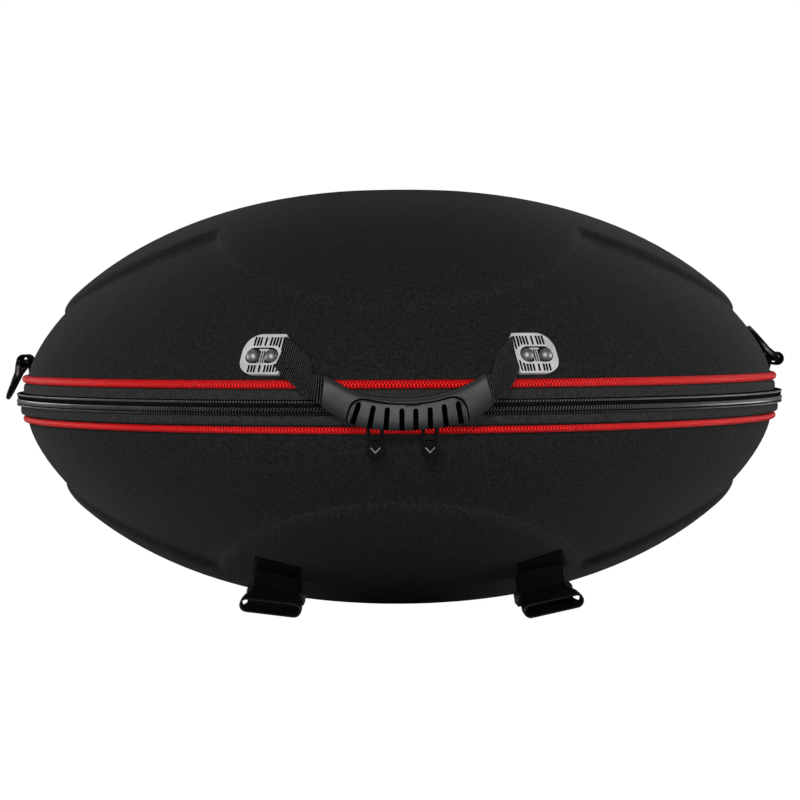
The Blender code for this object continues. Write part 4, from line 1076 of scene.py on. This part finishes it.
def make_strap(where, material):
    edges = STRAP_SPREAD[where]
    strap = ribbon(f"handle_strap_{where}", edges, material, cupping=STRAP_CUPPING[where])
    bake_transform(strap)
    return strap


def make_inner_strap(material):
    """The folded webbing inside the grip."""
    tops, feet = smooth_through(GRIP_TOP, 2), smooth_through(GRIP_BOTTOM, 2)
    edges = []
    for (tx, tz), (fx, fz) in list(zip(tops, feet))[1:-1]:
        x, z = (tx + fx) / 2, (tz + fz) / 2
        edges.append([(x, grip_middle_y(x), z + way * STRAP_CORE_HALF) for way in (1, -1)])
    return ribbon("handle_strap_core", edges, material, thickness=STRAP_CORE_THICKNESS, steps=1)


# D-rings and their loops

RING_WIDTH = 0.050
RING_LENGTH = 0.036
RING_BAR = 0.0042
RING_SIDE = 0.0055
RING_STRAIGHT = 0.010
RING_CORNER = 0.004
RING_SOFT = 0.0016
RING_EYE_STANDOFF = 0.0078
RING_EYE_HEIGHT = 0.029
RING_EYE_WALL = 0.0018
RING_TAB_WIDTH = 0.038
RING_TAB_FOOT = 0.007
RING_HANG = {"left": 24.0, "right": 217.8}
RING_INWARD = {-1: 0.0, 1: 0.0014}
RING_YAW = 7.0
LOOP_LEAN = 1.5
RING_THICK = 0.0060
RING_THIN = 0.0034
LOOP_SHIFT = {-1: (-0.0016, 0.0008), 1: (0.0, 0.0)}
LOOP_RADIUS = {-1: 0.0039, 1: 0.0038}

# Stands an outline up: its X, Y and Z become Y, Z and X
SIDE_ON = Matrix(((0, 0, 1), (1, 0, 0), (0, 1, 0))).to_4x4()


def ring_eye(sign):
    inward = RING_INWARD[sign]
    return Vector((sign * (SHELL_RADIUS + RING_EYE_STANDOFF - inward), 0.0, SEAM_HEIGHT + RING_EYE_HEIGHT))


def ring_outline():
    """The middle line of the D seen flat: a straight bar along X at the top and a bow below it."""
    half = (RING_WIDTH - RING_SIDE) / 2
    depth = RING_LENGTH - RING_BAR / 2 - RING_SIDE / 2 - RING_STRAIGHT
    corner, step = RING_CORNER, 0.002
    points = [(half - corner - step * i, 0.0) for i in range(int((2 * half - 2 * corner) / step))]
    points += arc((corner - half, -corner), corner, 90, 180, 6)
    points += [(half * x, depth * y - RING_STRAIGHT) for x, y in arc((0.0, 0.0), 1.0, 180, 360, 44)]
    return points + arc((half - corner, -corner), corner, 0, 90, 6)


def make_ring(where, sign, material):
    """Moulded D-ring: thin at the bar, on the swing axis, and wider and slightly turned round the bow."""
    yaw = Matrix.Rotation(-sign * math.radians(RING_YAW), 4, "Z")
    tilt = Matrix.Rotation(-sign * math.radians(RING_HANG[where]), 4, "Y") @ SIDE_ON
    straight = Matrix.Translation(ring_eye(sign)) @ tilt
    turned_away = Matrix.Translation(ring_eye(sign)) @ yaw @ tilt
    outline = ring_outline()
    rows = []
    for i, (x, y) in enumerate(outline):
        before, after = outline[i - 1], outline[(i + 1) % len(outline)]
        along = Vector((after[0] - before[0], after[1] - before[1])).normalized()
        share = min(max(-y / RING_STRAIGHT, 0.0), 1.0)
        wide = RING_BAR + (RING_SIDE - RING_BAR) * share
        beside = min(max((abs(x) - RING_TAB_WIDTH / 2) / 0.002, 0.0), 1.0)
        thick = RING_THICK + (RING_THIN - RING_THICK) * min(-y / RING_LENGTH, 1.0)
        thick = RING_BAR + (thick - RING_BAR) * max(beside, share)
        section = rounded_outline(wide, thick, RING_SOFT, 4)
        local = [Vector((x + along.y * u, y - along.x * u, v)) for u, v in section]
        rows.append([tuple((straight @ point).lerp(turned_away @ point, share)) for point in local])
    return Skin().patch([*rows, rows[0]], wrap=True).build(f"d_ring_{where}", material, 50)


def loop_path(radius, feet, steps=28):
    """The middle line of webbing that comes from one foot, goes round a bar and back to the other foot."""
    (x0, y0), (x1, y1) = feet
    towards = math.atan2((y0 + y1) / 2, (x0 + x1) / 2)
    whole = 2 * math.pi

    def tangent(foot, way):
        return math.atan2(foot[1], foot[0]) + way * math.acos(min(radius / math.hypot(*foot), 1.0))

    start = tangent(feet[0], 1)
    turn = (tangent(feet[1], -1) - start) % whole
    if (start - towards) % whole > math.pi:
        start = tangent(feet[0], -1)
        turn = -((start - tangent(feet[1], 1)) % whole)
    round_bar = arc((0.0, 0.0), radius, math.degrees(start), math.degrees(start + turn), steps)
    return [feet[0], *round_bar, feet[1]]


def folded_webbing(name, path, half_width, thickness, matrix, material, lean=0.0):
    """Webbing along a path in the matrix's X and Y. Lean slides its two edges apart along X."""
    path = np.asarray(path, float)
    skews = lean * half_width * np.array([0.0, *[1.0] * (len(path) - 2), 0.0])
    along = np.gradient(path, axis=0)
    along /= np.linalg.norm(along, axis=1)[:, None]
    normal = np.stack([-along[:, 1], along[:, 0]], axis=1)
    across = np.linspace(-1.0, 1.0, 11)
    edge = thickness / 2 * np.minimum(1.0, 0.35 + (1 - np.abs(across)) * 6)
    section = [*zip(across, edge), *zip(across[::-1], -edge[::-1])]
    rows = []
    for point, out, skew in zip(path, normal, skews):
        slide = np.array((skew, 0.0))
        rows.append(moved(matrix, [(*(point + out * e + slide * a), half_width * a) for a, e in section]))
    cloth = cloth_grid(path_lengths(path), np.linspace(0.0, 4 * half_width, len(section) + 1))
    return Skin().tube(rows, cloth).build(name, material, 50)


def make_ring_tab(where, sign, material):
    """A loop of webbing sewn in above the piping. The ring's bar lies in it."""
    shift, rise = LOOP_SHIFT[sign]
    eye = ring_eye(sign) + Vector((sign * (shift + RING_INWARD[sign]), 0.0, rise))
    low = GROOVE_TOP + 2 * CLEARANCE
    shell = float(dome(slope_at_height(low))[0])
    feet = []
    for height, out in ((low + RING_TAB_FOOT, -0.0004), (low + RING_EYE_WALL / 2, 0.0010)):
        feet.append((shell + out - abs(eye.x), SEAM_HEIGHT + height - eye.z))
    matrix = Matrix.Translation(eye) @ Matrix(((sign, 0, 0), (0, 0, -sign), (0, 1, 0))).to_4x4()
    path = loop_path(LOOP_RADIUS[sign] + RING_EYE_WALL / 2, feet)
    lean = -sign * math.tan(math.radians(LOOP_LEAN))
    half = RING_TAB_WIDTH / 2
    return folded_webbing(f"d_ring_tab_{where}", path, half, RING_EYE_WALL, matrix, material, lean)


# Strap buckles

# Azimuth, inset from the shell's edge, drop below the dome, heading, tilt, and heading of the tab
BUCKLES = {
    "front_left": (-27.26, 0.1028, 0.0206, -4.0, 6.5, 5.0),
    "front_right": (30.56, 0.0962, 0.0240, 9.0, -11.0, -7.0),
    "rear_left": (-151.37, 0.1002, 0.0219, 186.0, -9.0, 174.0),
    "rear_right": (151.37, 0.1002, 0.0219, 174.0, 9.0, 186.0),
}
BUCKLE_DROOP = 10.0
BUCKLE_WIDTH = 0.046
BUCKLE_LENGTH = 0.038
BUCKLE_THICKNESS = 0.0112
BUCKLE_FRAME_THICKNESS = 0.0052
BUCKLE_BAR = 0.0040
BUCKLE_SLOT = 0.0068
BUCKLE_SIDE = 0.0042
BUCKLE_WALL = 0.0015
BUCKLE_NECK = 0.0415
BUCKLE_MOUTH_DEPTH = 0.025
BUCKLE_WINDOW = (0.015, 0.0076, 0.008)
LUG = (0.0044, 0.0100, 0.0086)
BUCKLE_EYE_RADIUS = 0.0034
BUCKLE_EYE_WALL = 0.0017
TAB_WIDTH = 0.035
TAB_LENGTH = 0.033
TAB_LEAD = 0.007
TAB_THICKNESS = 0.0034
TAB_FOOT = 0.012
TAB_BEVEL = 0.0022
BUCKLE_FRONT = BUCKLE_BAR / 2 - BUCKLE_LENGTH


def bar_place(where):
    azimuth, inset, drop, *_ = BUCKLES[where]
    radius, height = dome(slope_at_radius(SHELL_RADIUS - inset))
    return polar(math.radians(azimuth), radius, height + drop, -1)


def bar_frame(where):
    """A matrix on the buckle's bar: X along the bar and Y level."""
    _, _, _, heading, tilt, _ = BUCKLES[where]
    turn = Matrix.Rotation(math.radians(heading), 4, "Z") @ Matrix.Rotation(math.radians(tilt), 4, "Y")
    return Matrix.Translation(bar_place(where)) @ turn


def buckle_frame(where):
    """The bar's matrix drooped, so that -Y points out of the buckle's mouth."""
    return bar_frame(where) @ Matrix.Rotation(math.radians(BUCKLE_DROOP), 4, "X")


def buckle_sections():
    """(y, width, thickness, corner radius) from the bar to the mouth."""
    full, thin, thick = BUCKLE_WIDTH, BUCKLE_FRAME_THICKNESS, BUCKLE_THICKNESS
    return [(0.0020, full - 0.0050, 0.0030, 0.0012), (0.0012, full - 0.0030, 0.0040, 0.0018),
            (-0.0020, full - 0.0022, thin, 0.0024), (-0.0088, full - 0.0022, thin, 0.0024),
            (-0.0105, full - 0.0034, 0.6 * thin + 0.4 * thick, 0.0034),
            (-0.0130, BUCKLE_NECK, thick - 0.0008, 0.0044), (-0.0160, BUCKLE_NECK, thick, 0.0050),
            (-0.0195, full - 0.0030, thick, 0.0053), (-0.0235, full - 0.0006, thick, 0.0055),
            (BUCKLE_FRONT + 0.0030, full, thick, 0.0055), (BUCKLE_FRONT + 0.0006, full, thick, 0.0055),
            (BUCKLE_FRONT, full - 0.0008, thick - 0.0008, 0.0051)]


def make_buckle(where, material, lug_highlight_material):
    """Socket half of a side-release buckle: bar, webbing slot, waist, mouth and side windows."""
    frame_here = buckle_frame(where)
    rows = []
    for y, wide, thick, corner in smooth_through(buckle_sections(), 3):
        outline = rounded_outline(wide, thick, min(corner, thick / 2.02))
        rows.append(moved(frame_here, [(x, y, z) for x, z in outline]))
    buckle = Skin().tube(rows).build(f"buckle_{where}", material)
    end_on = Matrix(((1, 0, 0), (0, 0, -1), (0, 1, 0))).to_4x4()
    mouth = stadium(BUCKLE_WIDTH - 2 * BUCKLE_WALL, BUCKLE_THICKNESS - 2 * BUCKLE_WALL, steps=10)
    webbing = rounded_outline(BUCKLE_WIDTH - 2 * BUCKLE_SIDE, BUCKLE_SLOT, 0.0012, 4)
    webbing = shifted(webbing, 0.0, -BUCKLE_BAR / 2 - BUCKLE_SLOT / 2)
    wide, tall, setback = BUCKLE_WINDOW
    window = stadium(wide, tall, (BUCKLE_FRONT + setback + wide / 2, 0.0))
    deep, beyond = -BUCKLE_FRONT - BUCKLE_MOUTH_DEPTH, 0.01 - BUCKLE_FRONT
    cut(buckle, [
        prism(mouth, deep, beyond, through(frame_here @ end_on)),
        prism(webbing, -BUCKLE_THICKNESS, BUCKLE_THICKNESS, through(frame_here)),
        prism(window, -BUCKLE_WIDTH, BUCKLE_WIDTH, through(frame_here @ SIDE_ON)),
    ])
    shade(buckle.data, 35)
    make_lugs(where, frame_here, lug_highlight_material).parent = buckle
    return buckle


def make_lugs(where, frame_here, material):
    """The thicker arms beside the webbing, at the ends of the bar. Their lighter finish is painted highlight.
    """
    wide, long, tall = LUG
    layers = ((0.0012, 0.0012), (0.0004, 0.0003), (-0.0010, 0.0), (0.0008 - long, 0.0), (-long, 0.0006))
    skin = Skin()
    for way in (-1, 1):
        x = way * (BUCKLE_WIDTH / 2 - 0.0011 - wide / 2)
        rows = []
        for y, inset in layers:
            outline = rounded_outline(wide - 2 * inset, tall - 2 * inset, 0.0012, 4)
            rows.append(moved(frame_here, [(x + u, y, v) for u, v in outline]))
        skin.tube(rows)
    return skin.build(f"buckle_lugs_{where}", material)


def tab_place(where):
    """The surface under a buckle's tab, with across along the webbing's width."""
    azimuth, inset, _, _, _, heading = BUCKLES[where]
    slope = slope_at_radius(SHELL_RADIUS - inset)
    return on_shell(-1, math.radians(azimuth), slope, math.radians(heading - azimuth))


def make_buckle_tab(where, material):
    """Webbing folded round the buckle's bar, with both ends sewn under a doubled patch on the petal."""
    place = tab_place(where)
    seat = PETAL_HEIGHT + CLEARANCE
    alongs = np.linspace(TAB_LENGTH / 2 - TAB_LEAD, -TAB_LENGTH / 2 - TAB_LEAD, 21)
    acrosses = np.linspace(-TAB_WIDTH / 2, TAB_WIDTH / 2, 15)
    rows = []
    for along in alongs:
        row = []
        for across in acrosses:
            edge = min(TAB_WIDTH / 2 - abs(across), TAB_LENGTH / 2 - abs(along + TAB_LEAD))
            height = seat + TAB_THICKNESS * min(1.0, 0.45 + edge / TAB_BEVEL)
            row.append(tuple(place(across, along, height)))
        row += [tuple(place(across, along, seat - 0.0005)) for across in acrosses[::-1]]
        rows.append(row)
    cloth = cloth_grid(alongs[0] - alongs, np.concatenate([acrosses, acrosses[::-1], acrosses[:1]]))
    patch = Skin().tube(rows, cloth).build(f"buckle_tab_{where}", material, 50)
    frame_here = bar_frame(where)
    feet = []
    for way in (-1, 1):
        point = frame_here.inverted() @ place(0.0, way * TAB_FOOT / 2, seat + TAB_THICKNESS / 2)
        feet.append((point.y, point.z))
    path = loop_path(BUCKLE_EYE_RADIUS + BUCKLE_EYE_WALL / 2, feet)
    side_on = frame_here @ SIDE_ON
    loop = folded_webbing(f"buckle_loop_{where}", path, TAB_WIDTH / 2, BUCKLE_EYE_WALL, side_on, material)
    loop.parent = patch
    return patch


# Camera, light and floor

WORLD_LIGHT = 0.02
REFLECTED_BACKDROP = 0.12
FLOOR_BOUNCE = 0.04
FLOOR_HALF = 6.0
SPOT_POWER = 195
SPOT_ANGLE = 60
SPOT_BLEND = 0.024
SPOT_SOFT = 0.04
SPOT_PLACE = (0, -3.0, 0.15)
SPOT_TILT = 117.56

# Name, place, height of the point it faces, size and power in watts
LAMPS = [
    ("key", (-0.3, -2.8, 1.15), 0.2, (0.7, 0.3), 36),
    ("top", (-0.2, 1.2, 2.2), 0.2, (0.8, 0.6), 7),
    ("left", (-1.9, -0.3, 0.35), 0.12, (0.6, 0.4), 4),
    ("right", (1.9, -0.3, 0.35), 0.12, (0.6, 0.4), 9),
    ("left_low", (-1.9, 0.1, 0.08), 0.12, (0.6, 0.1), 14),
    ("right_low", (1.9, 0.1, 0.08), 0.12, (0.6, 0.1), 16),
    ("left_back", (-1.6, 0.9, 0.3), 0.12, (0.6, 0.4), 7),
    ("right_back", (1.6, 0.9, 0.3), 0.12, (0.6, 0.4), 4),
]


def make_camera():
    data = bpy.data.cameras.new("camera")
    data.lens = CAMERA_LENS
    data.sensor_width = 36.0
    data.shift_x = CAMERA_SHIFT
    camera = add_object("camera", data)
    look = Matrix.Rotation(math.radians(90 - CAMERA_PITCH), 4, "X")
    roll = Matrix.Rotation(math.radians(-CAMERA_ROLL), 4, "Z")
    camera.matrix_world = Matrix.Translation((0, -CAMERA_DISTANCE, SEAM_HEIGHT + CAMERA_HEIGHT)) @ look @ roll
    bpy.context.scene.camera = camera


def make_area_light(name, place, target, size, power):
    data = bpy.data.lights.new(name, "AREA")
    data.shape = "RECTANGLE"
    data.size, data.size_y = size
    data.energy = power
    light = add_object(name, data)
    light.location = place
    light.rotation_euler = (Vector(target) - Vector(place)).to_track_quat("-Z", "Y").to_euler()


def seen_directly(nodes):
    """1 for rays from the camera or through glass, less for reflections, and 0 for all other rays."""
    rays = nodes.new("ShaderNodeLightPath").outputs
    total = math_node(nodes, "MULTIPLY", rays["Is Glossy Ray"], REFLECTED_BACKDROP)
    for name in ("Is Camera Ray", "Is Transmission Ray"):
        total = math_node(nodes, "MAXIMUM", total, rays[name])
    return total


def make_world():
    world = bpy.data.worlds.new("studio")
    bpy.context.scene.world = world
    world.use_nodes = True
    nodes = world.node_tree.nodes
    strength = math_node(nodes, "MAXIMUM", seen_directly(nodes), WORLD_LIGHT)
    feed(nodes["Background"], {"Strength": strength, "Color": rgba(1.0)})


def make_floor():
    """White to the camera, with the object's shadow kept."""
    far = FLOOR_HALF
    mesh = bpy.data.meshes.new("floor")
    mesh.from_pydata([(-far, -far, 0), (far, -far, 0), (far, far, 0), (-far, far, 0)], [], [(0, 1, 2, 3)])
    material = bpy.data.materials.new("floor")
    material.use_nodes = True
    nodes = material.node_tree.nodes
    nodes.remove(nodes["Principled BSDF"])
    diffuse = feed(nodes.new("ShaderNodeBsdfDiffuse"), {"Color": rgba(FLOOR_BOUNCE)})
    glow = feed(nodes.new("ShaderNodeEmission"), {"Strength": seen_directly(nodes)})
    both = feed(nodes.new("ShaderNodeAddShader"), {0: diffuse.outputs[0], 1: glow.outputs[0]})
    feed(nodes["Material Output"], {"Surface": both.outputs[0]})
    mesh.materials.append(material)
    floor = add_object("floor", mesh)


def make_low_spot():
    """Light from just above the floor, in front. The lower edge of its cone leaves the underside dark."""
    data = bpy.data.lights.new("low_front", "SPOT")
    data.energy = SPOT_POWER
    data.spot_size = math.radians(SPOT_ANGLE)
    data.spot_blend = SPOT_BLEND
    data.shadow_soft_size = SPOT_SOFT
    light = add_object("low_front", data)
    light.location = SPOT_PLACE
    light.rotation_euler = (math.radians(SPOT_TILT), 0, 0)


def make_stage():
    make_camera()
    make_world()
    make_floor()
    for name, place, target_height, size, power in LAMPS:
        make_area_light(name, place, (0, 0, target_height), size, power)
    make_low_spot()
    bpy.context.scene.view_settings.view_transform = "Standard"


# Assembly

def make_half(where, side, body, finishes):
    core = finishes["coil_cord_shade"]
    pieces = [
        ("shell", "shell_fabric", make_shell(f"{where}_shell", side, finishes["shell"])),
        ("liner", "liner_plush", make_liner(f"{where}_liner", side, finishes["liner"])),
        ("rim_cushion", "cushion_foam", make_cushion(f"{where}_rim_cushion", side, finishes["cushion"])),
        ("piping", "red_piping", make_piping(f"{where}_piping", side, finishes["piping"])),
        ("zip_tape", "black_tape", make_tape(f"{where}_zip_tape", side, finishes["tape"])),
        ("zip_coil", "zip_coil", make_coil(f"{where}_zip_coil", side, finishes["coil"], core)),
    ]
    for node, material_slot, obj in pieces:
        finish_piece(obj, f"{where}_{node}", body)


def make_handle(finishes):
    for where, sign in SIDES:
        plate = make_plate(where, sign, finishes["plate"], finishes["plate_hollow_shade"])
        finish_piece(plate, f"handle_plate_{where}", "lid")
        for end_name, end in (("outer", 1), ("inner", -1)):
            name = f"rivet_{where}_{end_name}"
            finish_piece(make_rivet(name, sign, end, finishes["rivet"]), name, "lid")
        strap = make_strap(where, finishes["webbing"])
        dress_node(f"handle_anchor_{where}", finishes["webbing"])
        dress_node(f"backing_plate_{where}", finishes["backing"])
    finish_piece(make_inner_strap(finishes["webbing"]), "handle_strap", "handle")
    grip = make_grip(finishes["grip"], finishes["grip_slot_shade"])
    finish_piece(grip, "handle_grip", "handle")


def dress_node(name, material):
    """Gives a CAD node that stays in view its finish."""
    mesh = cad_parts[name].data
    mesh.materials.clear()
    mesh.materials.append(material)


def make_hardware(finishes):
    for where, sign in SIDES:
        ring = make_ring(where, sign, finishes["ring"])
        finish_piece(ring, f"d_ring_{where}", f"d_ring_{where}")
        tab = make_ring_tab(where, sign, finishes["shaded_tab_webbing"])
        finish_piece(tab, f"d_ring_tab_{where}", "lid")
    for where, azimuth in SLIDER_AZIMUTHS.items():
        slider = make_slider(where, azimuth, finishes["metal"])
        finish_piece(slider, f"zip_slider_{where}", f"zip_slider_{where}")
        pull = make_pull(where, azimuth, finishes["metal"], finishes["lug"])
        finish_piece(pull, f"zip_pull_{where}", f"zip_pull_{where}")
    for where in BUCKLES:
        buckle = make_buckle(where, finishes["buckle"], finishes["lug"])
        finish_piece(buckle, f"buckle_{where}", f"buckle_{where}")
        # The buckle tabs take the darker webbing: painted shade.
        tab = make_buckle_tab(where, finishes["shaded_tab_webbing"])
        finish_piece(tab, f"buckle_tab_{where}", "base")


def make_fabric_hinge(finishes):
    for where, side, body in (("lower", -1, "base"), ("upper", 1, "lid")):
        leaf = make_hinge_leaf(where, side, finishes["webbing"])
        finish_piece(leaf, f"hinge_strip_{where}", body)
    strip = make_hinge_fold("fabric_hinge", finishes["webbing"])
    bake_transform(strip)


def main():
    finishes = make_finishes()
    make_half("lower", -1, "base", finishes)
    make_half("upper", 1, "lid", finishes)
    make_fabric_hinge(finishes)
    make_handle(finishes)
    make_hardware(finishes)
    make_stage()


main()
